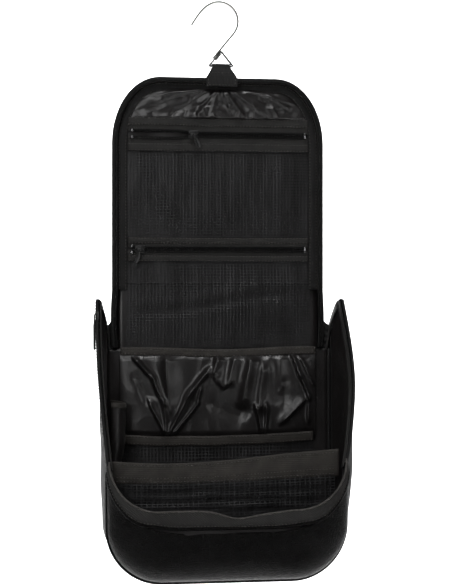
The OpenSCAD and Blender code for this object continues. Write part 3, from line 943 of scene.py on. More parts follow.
class BAG_OT_cover_lining(bpy.types.Operator):
    """Satin lining behind the mesh pockets, and the gathered satin at the top"""
    bl_idname = "bag.cover_lining"
    bl_label = "Cover lining"

    def execute(self, context):
        bm = bmesh.new()

        def back(u, v):
            z = mix(FOLD_Z + 15 * MM, COVER_TOP - 5 * MM, v)
            x = (2 * u - 1) * cover_half(z, 5 * MM)
            edge = (1 - abs(2 * u - 1) ** 8)
            wave = wander(x, z, 0.03, 51) * 0.8 + crease(x * 2, z, 0.05, 52) * 0.5
            return place(x, (5.4 + edge * wave) * MM, z)
        across(bm, 50, 60, back)
        thicken(bm, 0.5 * MM, (0, -1, 0))
        made = piece("cover_lining_satin", bm, "satin", "cover")
        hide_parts("cover_lining", "cover_board")
        self.gathered()
        return {"FINISHED"}

    def gathered(self):
        """Satin gathered into the rim above the upper zip, with folds that fan from the tab."""
        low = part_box("upper_zip_tapes")[1].z - 1 * MM
        depth = sizes().gather
        seed = sizes().seed
        bm = bmesh.new()
        tab_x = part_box("hanging_tab")[0].x / 2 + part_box("hanging_tab")[1].x / 2
        high = COVER_TOP - 9 * MM
        chance = random.Random(seed)
        folds = []
        for k in range(17):
            a = math.radians(mix(-84, 84, k / 16) + chance.uniform(-4, 4))
            near, far = chance.uniform(3, 12) * MM, chance.uniform(22, 40) * MM / max(math.cos(a), 0.42)
            sway = chance.uniform(-0.12, 0.12)
            folds.append((
                tab_x + near * math.sin(a), high + 3 * MM - near * math.cos(a),
                tab_x + far * math.sin(a + sway), high + 3 * MM - far * math.cos(a + sway),
                chance.uniform(3.0, 6.5) * MM, chance.choice((1.1, 0.8, -0.7)),
            ))
        for k in range(15):
            x = mix(-82, 84, k / 14) * MM + chance.uniform(-4, 4) * MM
            lean = chance.uniform(-7, 7) * MM
            folds.append((x, low + 1 * MM, x + lean, low + chance.uniform(6, 13) * MM,
                          chance.uniform(1.8, 3.4) * MM, chance.choice((0.7, 0.5, -0.4))))
        for k in range(12):
            x, z = chance.uniform(-80, 80) * MM, mix(low, high, chance.uniform(0.3, 0.9))
            a = chance.uniform(-0.7, 0.7)
            far = chance.uniform(10, 24) * MM
            folds.append((x, z, x + far * math.cos(a), z + far * math.sin(a),
                          chance.uniform(2.0, 4.5) * MM, chance.choice((0.8, 0.6, -0.6))))

        def shape(u, v):
            z = mix(low, high, v)
            x = (2 * u - 1) * cover_half(z, 12.5 * MM)
            warp = 1.4 * MM * wander(x, z, 0.016, seed)
            height = fold_height(x + warp, z - warp, folds) + 0.25 * crease(x, z * 1.5, 0.014, seed + 1)
            lens = math.exp(-((x + 46 * MM) / (30 * MM)) ** 2)
            lens *= math.exp(-((z - low - 9 * MM) / (5 * MM)) ** 2)
            edge = smooth(min(v * 9, (1 - v) * 5, 1)) * (1 - abs(2 * u - 1) ** 10)
            return place(x, 7.2 * MM + depth * edge * (0.95 + 0.62 * height - 0.5 * lens), z)
        across(bm, 220, 66, shape)
        thicken(bm, 0.4 * MM, (0, -1, 0))
        made = piece("gathered_satin", bm, "satin", "cover")
        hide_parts("gathered_lining")


class BAG_OT_pocket_zips(bpy.types.Operator):
    """The two pocket zips: tapes, hems, coils, cords and end stops"""
    bl_idname = "bag.pocket_zips"
    bl_label = "Pocket zips"

    def execute(self, context):
        for word in ("upper", "lower"):
            lo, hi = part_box(f"{word}_zip_tapes")
            chain_lo, chain_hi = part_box(f"{word}_zip_coil")
            slider_lo, slider_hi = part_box(f"{word}_slider")
            middle = (chain_lo.z + chain_hi.z) / 2
            slider_x = (slider_lo.x + slider_hi.x) / 2
            self.tapes(word, lo, hi, middle, slider_x)
            self.chain(word, lo, hi, middle, slider_x)
        return {"FINISHED"}

    def part(self, x, slider_x, left, gap):
        """How far each half of the chain stands off the middle at x."""
        if x > slider_x:
            return 0.0
        return gap * smooth((slider_x - x) / (16 * MM)) * (0.7 + 0.3 * smooth((x - left) / (12 * MM)))

    def tapes(self, word, lo, hi, middle, slider_x):
        bm = bmesh.new()
        rows = bmesh.new()
        gap = 1.5 * MM
        half_x = hi.x - 0.5 * MM
        for way in (-1, 1):
            outer = (hi.z if way > 0 else lo.z)
            width = abs(outer - middle)
            for share, thick, rise in ((0.36, 1.3, 0.0), (0.80, 1.9, 0.7)):
                def bend(t, share=share, way=way):
                    x = mix(-half_x, half_x, t)
                    open_by = self.part(x, slider_x, -half_x, gap) * (1 - share * 0.8)
                    wave = wander(x, middle + way, 0.05, 61 + share) * 0.7 * MM
                    return Vector((0, -wave * 0.6, way * open_by + wave * 0.5))
                z = middle + way * width * share
                f = (7.4 + rise) * MM
                path = line(place(-half_x, f, z), place(half_x, f, z), 70, bend)
                sweep(bm, path, (0, -1, 0), band_profile(thick * MM, width * 0.50, 0.45))
                edge = moved(path, 0, -0.95 * MM, width * 0.19)
                stitches(rows, edge, (0, -1, 0))
                if share > 0.5:
                    edge = moved(path, 0, -0.95 * MM, -width * 0.19)
                    stitches(rows, edge, (0, -1, 0))
        outwards(bm)
        made = piece(f"{word}_pocket_tapes", bm, "tape", "cover")
        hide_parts(f"{word}_zip_tapes")
        piece(f"{word}_pocket_stitches", rows, "thread", "cover")

    def chain(self, word, lo, hi, middle, slider_x):
        bm = bmesh.new()
        cord = bmesh.new()
        for way in (-1, 1):
            def bend(t, way=way):
                x = mix(lo.x + 3 * MM, hi.x - 3 * MM, t)
                open_by = self.part(x, slider_x, lo.x, 1.9 * MM)
                return Vector((0, 0, way * (1.05 * MM + open_by)))
            start, end = (place(x, 8.9 * MM, middle) for x in (lo.x + 3 * MM, hi.x - 3 * MM))
            path = line(start, end, 110, bend)
            coil(bm, path, (0, -1, 0), 2.7 * MM, 1.7 * MM)
            shifted = moved(path, 0, 0.4 * MM, way * 1.5 * MM)
            sweep(cord, shifted, (0, -1, 0), tube_profile(0.6 * MM, 6))
        made = piece(f"{word}_pocket_coil", bm, "coil", "cover")
        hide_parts(f"{word}_zip_coil")
        outwards(cord)
        piece(f"{word}_pocket_cord", cord, "coil", "cover")
        bm = bmesh.new()
        for way in (-1, 1):
            at = place(lo.x + 4.5 * MM, 9.6 * MM, middle + way * 3.1 * MM)
            box_at(bm, at, (1.7 * MM, 1.5 * MM, 2.3 * MM), soft=0.45 * MM)
        box_at(bm, place(hi.x - 4 * MM, 9.6 * MM, middle), (1.8 * MM, 1.5 * MM, 5.4 * MM),
               soft=0.45 * MM)
        made = piece(f"{word}_pocket_stops", bm, "bright", "cover")
        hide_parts(f"{word}_zip_stops")


class BAG_OT_sliders(bpy.types.Operator):
    """Zip sliders with a bridge, and the pulls that hang from them"""
    bl_idname = "bag.sliders"
    bl_label = "Sliders and pulls"

    def slider(self, name, at, turn, node):
        """A cast slider, its nose along +X and its top towards -Y, turned into place."""
        bm = bmesh.new()
        f, thick = 0.9 * MM, 1.1 * MM
        lowered = Matrix.Translation((0, -f - thick / 2, 0))
        stretched = Matrix.Diagonal((9.4 * MM, thick, 7.4 * MM, 1))
        made = bmesh.ops.create_cube(bm, size=1, matrix=lowered @ stretched)["verts"]
        for vert in made:
            if vert.co.x < 0:
                vert.co.z *= 0.78
        edges = list({e for v in made for e in v.link_edges})
        bmesh.ops.bevel(bm, geom=edges, offset=0.45 * MM, segments=3, profile=0.5,
                        affect="EDGES", material=-1)
        for way in (-1, 1):
            box_at(bm, Vector((0.3 * MM, -0.7 * MM, way * 3.3 * MM)), (8.6 * MM, 1.5 * MM, 0.9 * MM),
                   soft=0.3 * MM, segments=2)
        arch = [Vector((3.9 * MM * math.cos(a), -1.8 * MM - 2.7 * MM * math.sin(a) ** 0.6, 0))
                for a in [math.pi * i / 18 for i in range(19)]]
        sweep(bm, arch, (0, 0, 1), band_profile(2.1 * MM, 1.1 * MM, 0.6))
        outwards(bm)
        bmesh.ops.transform(bm, matrix=Matrix.Translation(at) @ turn.to_4x4(), verts=bm.verts)
        body = frame["nodes"][node]["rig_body"]
        made = piece(name, bm, "black_metal", body)
        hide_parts(node)

    def pull(self, name, at, turn, node, reach, width, look):
        """A flat pull with an eye at its top and a slot near its end."""
        bm = bmesh.new()
        eye = [Vector((1.7 * MM * math.sin(a), 0, 1.7 * MM * math.cos(a))) for a in
               [2 * math.pi * i / 24 for i in range(25)]]
        sweep(bm, eye, (0, 1, 0), tube_profile(0.55 * MM, 8))
        half, end = width / 2 / MM, -reach / MM
        right = [(half * 0.5, end), (half * 0.82, end + 2.2), (half, -6.6), (1.2, -4.5), (1.2, -1.6)]
        outline = [(-x, z) for x, z in reversed(right)] + right
        slab = bmesh.new()
        verts = [slab.verts.new((x * MM, -0.8 * MM, z * MM)) for x, z in outline]
        face = slab.faces.new(verts)
        grown = bmesh.ops.extrude_face_region(slab, geom=[face])["geom"]
        grown = [g for g in grown if isinstance(g, bmesh.types.BMVert)]
        bmesh.ops.translate(slab, vec=(0, 1.6 * MM, 0), verts=grown)
        outwards(slab)
        slot_faces = [f for f in slab.faces if len(f.verts) > 4]
        bmesh.ops.inset_region(slab, faces=slot_faces, thickness=0.9 * MM, depth=0.0)
        inner = [f for f in slab.faces if len(f.verts) > 4]
        for face in inner:
            for vert in face.verts:
                vert.co.y *= 0.35
        sharp = [e for e in slab.edges if e.is_manifold and e.calc_face_angle(0) > 0.5]
        bmesh.ops.bevel(slab, geom=sharp, offset=0.3 * MM, segments=2, profile=0.5,
                        affect="EDGES", material=-1)
        mesh = bpy.data.meshes.new("pull_part")
        slab.to_mesh(mesh)
        slab.free()
        bm.from_mesh(mesh)
        bpy.data.meshes.remove(mesh)
        outwards(bm)
        bmesh.ops.transform(bm, matrix=Matrix.Translation(at) @ turn.to_4x4(), verts=bm.verts)
        made = piece(name, bm, look, frame["nodes"][node]["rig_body"])
        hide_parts(node)

    def execute(self, context):
        for word in ("upper", "lower"):
            lo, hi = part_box(f"{word}_slider")
            joint = Vector(JOINT[f"{word}_pull_swing"]["pos_m"])
            at = Vector(((lo.x + hi.x) / 2, hi.y, (lo.z + hi.z) / 2))
            self.slider(f"{word}_zip_slider", at, Matrix.Identity(3), f"{word}_slider")
            lean = Matrix.Rotation(math.radians(18 if word == "lower" else -25), 3, "Y")
            self.pull(f"{word}_zip_pull", joint, lean, f"{word}_pull", 14 * MM, 4.4 * MM, "black_metal")
        joint = JOINT["main_pull_swing"]
        at = Vector(joint["pos_m"])
        travel = Vector(JOINT["main_zip"]["axis"]).normalized()
        top = Vector((-1, 0, 0))
        top = (top - travel * top.dot(travel)).normalized()
        turn = Matrix((-travel, -top, (-travel).cross(-top))).transposed()
        self.slider("main_zip_slider", at - top * 4.2 * MM, turn, "main_slider")
        swing = Vector(joint["axis"]).normalized()
        lo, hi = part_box("main_pull")
        down = (Vector(((lo.x + hi.x) / 2, (lo.y + hi.y) / 2, lo.z)) - at)
        down = (down - swing * down.dot(swing)).normalized()
        turn = Matrix((swing, swing.cross(down).normalized(), -down)).transposed()
        if turn.determinant() < 0:
            turn = Matrix((swing, -swing.cross(down).normalized(), -down)).transposed()
        self.pull("main_zip_pull", at, turn, "main_pull", 30 * MM, 7 * MM, "black_metal")
        return {"FINISHED"}


class BAG_OT_cover_pockets(bpy.types.Operator):
    """Two mesh pockets on the cover; the lower one runs over the fold to the seam band"""
    bl_idname = "bag.cover_pockets"
    bl_label = "Cover mesh pockets"

    def execute(self, context):
        upper_lo, upper_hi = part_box("upper_mesh")
        self.pocket("upper_pocket_net", upper_lo.z - 1 * MM, upper_hi.z + 2 * MM, 1, 71,
                    ("upper_mesh",), "cover")
        low, high = SEAM_Z - 2 * MM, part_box("lower_mesh_top")[1].z + 2 * MM
        made = self.pocket("lower_pocket_net", low, high, 2, 75, ("lower_mesh_top", "lower_mesh_bottom"))
        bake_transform(made)
        return {"FINISHED"}

    def pocket(self, name, low, high, kind, seed, nodes, body=None):
        half_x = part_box("lower_mesh_top")[1].x + 1 * MM
        pitch = sizes().net_pitch

        def shape(u, v):
            x = (2 * u - 1) * half_x
            z = mix(low, high, v)
            slack = math.sin(math.pi * v) ** 0.6 * (1 - abs(2 * u - 1) ** 8)
            ribs = math.sin(x * 560 + 2.2 * wander(x, z, 0.03, seed)) * 0.40
            folds = (wander(x * 1.3, z * 0.5, 0.030, seed + 1) * 1.5
                     + crease(x * 1.2 + z * 0.5, z * 0.6, 0.05, seed + 2))
            if kind == 1:
                crossing = (x + 83 * MM) - (high - z) * 0.55 - 6 * MM
                folds += 2.6 * math.exp(-(crossing / (4.5 * MM)) ** 2) * smooth((z - low) / (30 * MM))
            else:
                hollow = z - (FOLD_Z - 3 * MM + 0.10 * x + 3 * MM * math.sin(x * 40))
                folds -= 2.6 * math.exp(-(hollow / (5 * MM)) ** 2)
                folds += 1.2 * math.exp(-((hollow - 9 * MM) / (6 * MM)) ** 2)
            sag = (1.2 if kind == 1 else 2.8) * math.sin(math.pi * v) * (1 - abs(2 * u - 1) ** 3)
            lift = ribs + folds * 0.8 + sag
            lift = lift if lift > 3 else math.log1p(math.exp(3 * lift)) / 3
            return place(x, (7.1 + slack * lift) * MM, z)

        bm = bmesh.new()
        steps_x = round(2 * half_x / pitch)
        steps_z = round((high - low) / (pitch * 0.85))
        area = net(bm, steps_x, steps_z, shape, sizes().net_thread)
        outwards(bm, (0, -1, 0))
        made = piece(name, bm, "net", body)
        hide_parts(*nodes)
        return made


# ---- Compartment ----
class BAG_OT_neck(bpy.types.Operator):
    """Rim and zip along both sides of the back, from the fold down to the seam band"""
    bl_idname = "bag.neck"
    bl_label = "Neck zips"

    def execute(self, context):
        for side, word in ((-1, "left"), (1, "right")):
            x = side * (COVER_X - 2 * MM)
            high, low = FOLD_Z + 10.5 * MM, SEAM_Z

            def bend(t, side=side):
                return Vector((side * 1.2 * MM * math.sin(math.pi * t), 0.6 * MM * math.sin(5 * t), 0))
            bm = bmesh.new()
            path = line(place(x, 4.4 * MM, high), place(x, 4.4 * MM, low), 40, bend)
            sweep(bm, path, (1, 0, 0), band_profile(4.4 * MM, 9.4 * MM, 0.55))
            inner = moved(path, -side * 2.4 * MM, -5.2 * MM, 0)
            sweep(bm, inner, (1, 0, 0), band_profile(1.4 * MM, 5.6 * MM, 0.6))
            outwards(bm)
            made = piece(f"neck_rim_{word}", bm, "weave")
            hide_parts(f"neck_zip_{word}")
            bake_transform(made)
            bm = bmesh.new()
            row = moved(path, -side * 2.2 * MM, -8.2 * MM, 0)
            coil(bm, row, (0, -1, 0), 3.0 * MM, 2.4 * MM)
            made = piece(f"neck_coil_{word}", bm, "coil")
            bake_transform(made)
        self.lining()
        self.gussets()
        return {"FINISHED"}

    def gussets(self):
        """Cloth between the neck's rim and the rear edge of each wing."""
        for side, word in ((-1, "left"), (1, "right")):
            low, high = SEAM_Z - 5 * MM, FOLD_Z - 17 * MM

            def shape(u, v, side=side):
                z = mix(low, high, v)
                near = place(side * (COVER_X - 0.5 * MM), 3.5 * MM, z)
                f = mix(1.5 * MM, 13 * MM, v ** 1.3)
                far = side_point(side, f, z - 1 * MM, SIDE_X - 1.5 * MM, 1.0, 0.0)
                fold = 1.2 * MM * math.sin(math.pi * u) * (1 + 0.5 * math.sin(z * 900))
                return near.lerp(far, u) + Vector((0, -fold, -6 * MM * math.sin(math.pi * u) * v))
            bm = bmesh.new()
            across(bm, 12, 24, shape)
            thicken(bm, 0.8 * MM, (0, -1, 0))
            made = piece(f"gusset_{word}", bm, "weave", "compartment")

    def lining(self):
        bm = bmesh.new()

        def shape(u, v):
            z = mix(SEAM_Z - 4 * MM, FOLD_Z + 16 * MM, v)
            x = (2 * u - 1) * (COVER_X - 5 * MM)
            behind = 1.3 * smooth((v - 0.6) * 3)
            return place(x, (5.6 - behind + wander(x, z, 0.03, 81) * 0.8 * (1 - abs(2 * u - 1) ** 8)) * MM, z)
        across(bm, 40, 24, shape)
        thicken(bm, 0.5 * MM, (0, -1, 0))
        made = piece("fold_lining_satin", bm, "satin")
        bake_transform(made)


class BAG_OT_back_inside(bpy.types.Operator):
    """Inside of the back: lining, hanging satin, and the low mesh pocket with its elastic hem"""
    bl_idname = "bag.back_inside"
    bl_label = "Back inside"
    lift = 5.5 * MM  # the elastic pulls its hem up by this much

    def execute(self, context):
        self.lining()
        self.drape()
        self.pocket()
        return {"FINISHED"}

    def lining(self):
        bm = bmesh.new()

        def shape(u, v):
            z = mix(FLOOR_Z + 4 * MM, SEAM_Z - 2 * MM, mix(v, 0.5 - 0.5 * math.cos(math.pi * v), 0.5))
            x = (2 * u - 1) * tub_half(z, 0.6 * MM)
            edge = 1 - abs(2 * u - 1) ** 8
            return place(x, (5.6 + edge * wander(x, z, 0.03, 91) * 0.8) * MM, z)
        across(bm, 50, 60, shape)
        thicken(bm, 0.5 * MM, (0, -1, 0))
        made = piece("back_lining_satin", bm, "satin", "compartment")
        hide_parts("back_lining", "back_board")

    def drape(self):
        """Loose satin that hangs from the seam band and is drawn in at the pocket's hem."""
        hem_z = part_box("back_pocket_hem")[1].z + self.lift
        depth = sizes().drape
        seed = sizes().seed
        half_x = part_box("satin_drape")[1].x + 3 * MM
        high = SEAM_Z - 5 * MM
        low = hem_z - 3 * MM
        bm = bmesh.new()

        def fold(x0, h0, x1, h1, width, height):
            """A fold between two points, given in mm from the middle and below the seam."""
            return (x0 * MM, SEAM_Z - h0 * MM, x1 * MM, SEAM_Z - h1 * MM, width * MM, height)

        folds = [
            fold(-81, 9, -63, 28, 3.0, 0.9), fold(-63, 28, -53, 52, 3.0, 0.95),
            fold(-53, 50, -50, 80, 2.6, 0.8), fold(-66, 50, -51, 80, 2.4, 0.75),
            fold(-52, 2, -46, 60, 11.0, 1.2),
            fold(-10, 20, -30, 44, 5.0, 1.05), fold(-29, 42, -48, 80, 4.6, 1.05),
            fold(-17, 37, -21, 52, 2.2, 0.7), fold(-21, 52, -44, 80, 2.4, 0.75),
            fold(-1, 8, -7, 26, 6.0, 1.0), fold(-5, 28, 6, 37, 5.5, 0.7), fold(16, 8, 9, 34, 8.0, 0.8),
            fold(30, 8, 22, 52, 11.0, 1.2), fold(41, 18, 38, 58, 8.0, 0.9),
            fold(34, 54, 40, 78, 2.8, 0.85), fold(44, 54, 44, 79, 2.4, 0.75), fold(58, 8, 60, 40, 10, 0.45),
            fold(70, 7, 77, 27, 3.2, 1.0), fold(77, 26, 86, 48, 3.2, 1.0), fold(86, 45, 86, 70, 3.0, 0.9),
            fold(77, 10, 91, 34, 2.8, 0.8), fold(60, 70, 83, 49, 5.0, 0.8),
            fold(-8, 52, 24, 64, 15, -0.7), fold(-78, 26, -68, 50, 8, -0.6), fold(62, 55, 64, 30, 7, -0.35),
        ]

        def shape(u, v):
            z = mix(low, high, v)
            x = (2 * u - 1) * half_x
            h = (high - z) / (high - low)
            warp = 1.5 * MM * wander(x, z, 0.02, seed)
            height = fold_height(x + warp, z + warp, folds)
            height += 0.22 * crease(x * 1.2, z * 0.8, 0.03, seed + 5) + 0.2 * wander(x, z, 0.05, seed + 6)
            pleat = (1 - abs(math.sin(x * 260 + 2 * wander(x, z, 0.02, seed + 7)))) * math.exp(-h * 16)
            held = smooth(h * 9 + 0.12) * smooth((1 - h) * 8 + 0.15) * (1 - abs(2 * u - 1) ** 12)
            f = 7.2 * MM + depth * max(held * (0.28 + 0.55 * height) + 0.06 * pleat, 0)
            return place(x, f, z - 2 * MM * math.sin(math.pi * u) * h)
        across(bm, 240, 110, shape)
        thicken(bm, 0.4 * MM, (0, -1, 0))
        made = piece("hanging_satin", bm, "satin", "compartment")
        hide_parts("satin_drape")

    def pocket(self):
        lo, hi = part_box("back_pocket_hem")
        low = FLOOR_Z + 9 * MM
        bm = bmesh.new()
        pitch = sizes().net_pitch

        def shape(u, v):
            z = mix(low, lo.z + 2 * MM + self.lift, v)
            wide = min(hi.x, tub_half(z, 8 * MM))
            x = (2 * u - 1) * wide
            slack = math.sin(math.pi * v) ** 0.5 * (1 - abs(2 * u - 1) ** 6)
            folds = crease(x * 1.6, z * 0.4, 0.05, 95) + 0.4 * math.sin(x * 520 + wander(x, z, 0.02, 96))
            return place(x, (8.2 + slack * (2.2 + folds * 1.2)) * MM, z)
        cells_up = round((lo.z - low) / (pitch * 0.9))
        area = net(bm, round(2 * hi.x / pitch), cells_up, shape, sizes().net_thread)
        outwards(bm, (0, -1, 0))
        made = piece("back_pocket_net", bm, "net", "compartment")
        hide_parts("back_pocket_mesh")
        bm = bmesh.new()
        threads = bmesh.new()

        def bend(t):
            x = mix(lo.x, hi.x, t)
            return Vector((0, -(1.6 * math.sin(math.pi * t) + 0.7 * wander(x, 0, 0.02, 98)) * MM,
                           (-2.5 * math.sin(math.pi * t) + 1.1 * wander(x, 0, 0.04, 97) + 1.5 * t) * MM))
        middle = (lo.z + hi.z) / 2 + self.lift
        path = line(place(lo.x, 9.6 * MM, middle), place(hi.x, 9.6 * MM, middle), 90, bend)
        sweep(bm, path, (0, -1, 0), band_profile(2.4 * MM, hi.z - lo.z, 0.5))
        for drop in (-0.34, 0.34):
            stitches(threads, moved(path, 0, -1.2 * MM, drop * (hi.z - lo.z)), (0, -1, 0))
        outwards(bm)
        hem = piece("back_pocket_elastic", bm, "elastic", "compartment")
        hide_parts("back_pocket_hem")
        piece("back_pocket_stitches", threads, "thread", "compartment")


class BAG_OT_divider(bpy.types.Operator):
    """Mesh divider with a wide elastic hem, and the slim pocket on the left side"""
    bl_idname = "bag.divider"
    bl_label = "Divider"

    def execute(self, context):
        lo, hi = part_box("divider_hem")
        self.f = BACK - (lo.y + hi.y) / 2
        self.half_x = hi.x
        bm = bmesh.new()
        height = hi.z - lo.z
        top = hi.z

        def hem(u, v):
            x = (2 * u - 1) * self.half_x
            droop = -4.5 * math.sin(math.pi * u) + 8.5 * smooth((u - 0.1) * 1.3) - 5.5
            z = top + droop * MM * (0.4 + 0.6 * v) - height * (1 - v)
            round_it = math.sin(math.pi * v) ** 0.5 * 0.9
            wave = (2.4 * math.sin(math.pi * u) + 1.4 * wander(x, v * 0.01, 0.045, 101)
                    + 0.5 * wander(x, v * 0.02, 0.012, 102))
            return place(x, self.f + (wave + round_it) * MM, z)
        across(bm, 120, 14, hem)
        thicken(bm, 1.8 * MM, (0, -1, 0))
        made = piece("divider_elastic", bm, "elastic", "compartment")
        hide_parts("divider_hem")
        threads = bmesh.new()
        for v in (0.12, 0.3, 0.88):
            row = moved([hem(i / 120, v) for i in range(2, 119)], 0, -0.3 * MM, 0)
            stitches(threads, row, (0, -1, 0))
        piece("divider_stitches", threads, "thread", "compartment")
        self.net_part(hem)
        self.side_pocket()
        return {"FINISHED"}

    def net_part(self, hem):
        low = FLOOR_Z + 8 * MM
        pitch = sizes().net_pitch
        bm = bmesh.new()

        def shape(u, v):
            edge = hem(u, 0.08)
            z = mix(low, edge.z, v)
            wide = tub_half(z, 7 * MM)
            x = (2 * u - 1) * min(self.half_x, wide)
            slack = math.sin(math.pi * min(max(v, 0), 1)) ** 0.5 * (1 - abs(2 * u - 1) ** 6)
            folds = (1.5 * crease(x * 0.5, z * 1.4, 0.03, 105)
                     + 0.9 * math.sin(z * 700 + 3 * wander(x, z, 0.05, 106)))
            f = mix(self.f, BACK - edge.y, v ** 2)
            return place(x, f + slack * folds * MM, z)
        cells = (round(2 * self.half_x / (pitch * 1.5)), round(78 * MM / (pitch * 0.75)))
        area = net(bm, *cells, shape, sizes().net_thread)
        outwards(bm, (0, -1, 0))
        made = piece("divider_net", bm, "net", "compartment")
        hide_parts("divider_mesh")

    def side_pocket(self):
        lo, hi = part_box("toothbrush_pocket")
        back_f, front_f = BACK - hi.y, BACK - lo.y
        bm = bmesh.new()

        def shape(u, v):
            f = mix(back_f, front_f, u)
            z = mix(lo.z, hi.z, v)
            round_it = max(math.sin(math.pi * u), 0) ** 0.45 * (0.3 + 0.7 * smooth(v * 1.6))
            fold = wander(f, z, 0.015, 111) * 0.8
            x = lo.x + (0.6 + 13.5 * round_it + fold * round_it) * MM
            return place(x, f, z - 1.5 * MM * math.sin(math.pi * u) * v)
        across(bm, 24, 46, shape)
        thicken(bm, 0.6 * MM, (1, 0, 0))
        made = piece("side_pocket_satin", bm, "satin", "compartment")
        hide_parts("toothbrush_pocket")
        path = [shape(i / 24, 1.0) + Vector((0, 0, -1.2 * MM)) for i in range(25)]
        profile = band_profile(1.6 * MM, 5 * MM, 0.6)
        swept("side_pocket_hem", path, (1, 0, 0), profile, "elastic", "compartment")


class BAG_OT_mouth(bpy.types.Operator):
    """Zip tape, coil and binding round the mouth: both wings' edges and the front lip"""
    bl_idname = "bag.mouth"
    bl_label = "Mouth zip"

    def wing_edge(self, side):
        """The wing's free edge, from the zip's end over the peak and down to the lip."""
        points = []
        for i in range(71):
            v = i / 70
            f = mix(1.5 * MM, SEAM_F - 1.5 * MM, v ** 1.6)
            points.append(side_point(side, f, side_top(f), SIDE_X - 0.7 * MM, 1.0, 0.0))
        return points

    def execute(self, context):
        for side, word in ((-1, "left"), (1, "right")):
            edge = self.wing_edge(side)
            out = (side, 0, 0)
            profile = band_profile(3.4 * MM, 5.2 * MM, 0.6)
            lean_with_wing(swept(f"wing_binding_{word}", edge, out, profile, "weave"))
            inner = moved(edge, -side * 3.2 * MM, -1.2 * MM, -3.4 * MM)
            made = swept(f"wing_tape_{word}", inner, out, band_profile(1.4 * MM, 9 * MM, 0.6), "tape")
            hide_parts(f"wing_zip_{word}")
            lean_with_wing(made)
            bm = bmesh.new()
            row = moved(edge, -side * 1.4 * MM, -1.6 * MM, 1.2 * MM)
            coil(bm, row, out, 2.9 * MM, 2.2 * MM)
            lean_with_wing(piece(f"wing_coil_{word}", bm, "coil"))
            bm = bmesh.new()
            stitches(bm, moved(edge, side * 1.9 * MM, 0.6 * MM, -1.0 * MM), out)
            lean_with_wing(piece(f"wing_stitches_{word}", bm, "thread"))
        self.lip()
        return {"FINISHED"}

    def lip(self):
        steps = 150
        ts = [-1 + 2 * i / steps for i in range(steps + 1)]

        def wall(t, down, inset, push=0.0):
            """A point of the lip, down from its top along z, after the sag of its middle."""
            point = lip_point(t, inset, down * MOUTH_OUT[1])
            point.z = lip_point(t, min(inset, 2 * MM), down * MOUTH_OUT[1]).z
            side = 1 if t > 0 else -1
            grow = swell(side, SEAM_F * 0.93, point.z) * smooth(abs(t) * 2 - 1) * 0.7
            out = Vector((math.copysign(max(abs(t) - 0.5, 0) * 2, t), -1 + abs(t) ** 3, 0))
            return point + Vector((side * grow, 0, 0)) + out.normalized() * push

        def sag(t):
            x = t * SIDE_X * 1.3 - 9 * MM
            wide = 22 * MM if x < 0 else 38 * MM
            return 7.5 * MM * math.exp(-(x / wide) ** 2) + 0.8 * MM * wander(x, 0, 0.03, 131)

        def rim(t, v):
            """Across the tape, from the leather (0) to its free inner edge (1)."""
            low = lip_drop(t) + 1.0 * MM
            high = sag(t)
            wave = 0.5 * MM * wander(t * 0.1, v * 0.01, 0.03, 121)
            inset = 0.2 * MM + lip_roll(t) + 1.8 * MM * v
            return wall(t, mix(low, high, v), inset, 1.4 * MM * math.sin(math.pi * v) + wave)

        bm = bmesh.new()
        across(bm, steps, 12, lambda u, v: rim(-1 + 2 * u, v))
        thicken(bm, 1.5 * MM, (0, -1, 0))
        made = piece("lip_tape", bm, "tape", "compartment")
        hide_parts("lip_zip_tape")
        bm = bmesh.new()
        row = moved([rim(t, 0.55) for t in ts], 0, 3.4 * MM, 0)
        coil(bm, row, (0, -1, 0.4), 2.9 * MM, 2.3 * MM)
        made = piece("lip_coil", bm, "coil", "compartment")
        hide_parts("lip_zip_coil")
        for name, v, profile, look in (
            ("lip_piping", 0.0, tube_profile(1.5 * MM, 10), "leather"),
            ("lip_edge_tape", 0.96, tube_profile(0.9 * MM, 8), "thread"),
        ):
            swept(name, [rim(t, v) for t in ts], (0, -1, 0.3), profile, look, "compartment")
        bm = bmesh.new()
        stitches(bm, moved([rim(t, 0.16) for t in ts], 0, -0.4 * MM, 0), (0, -1, 0.1))
        piece("lip_stitches", bm, "thread", "compartment")


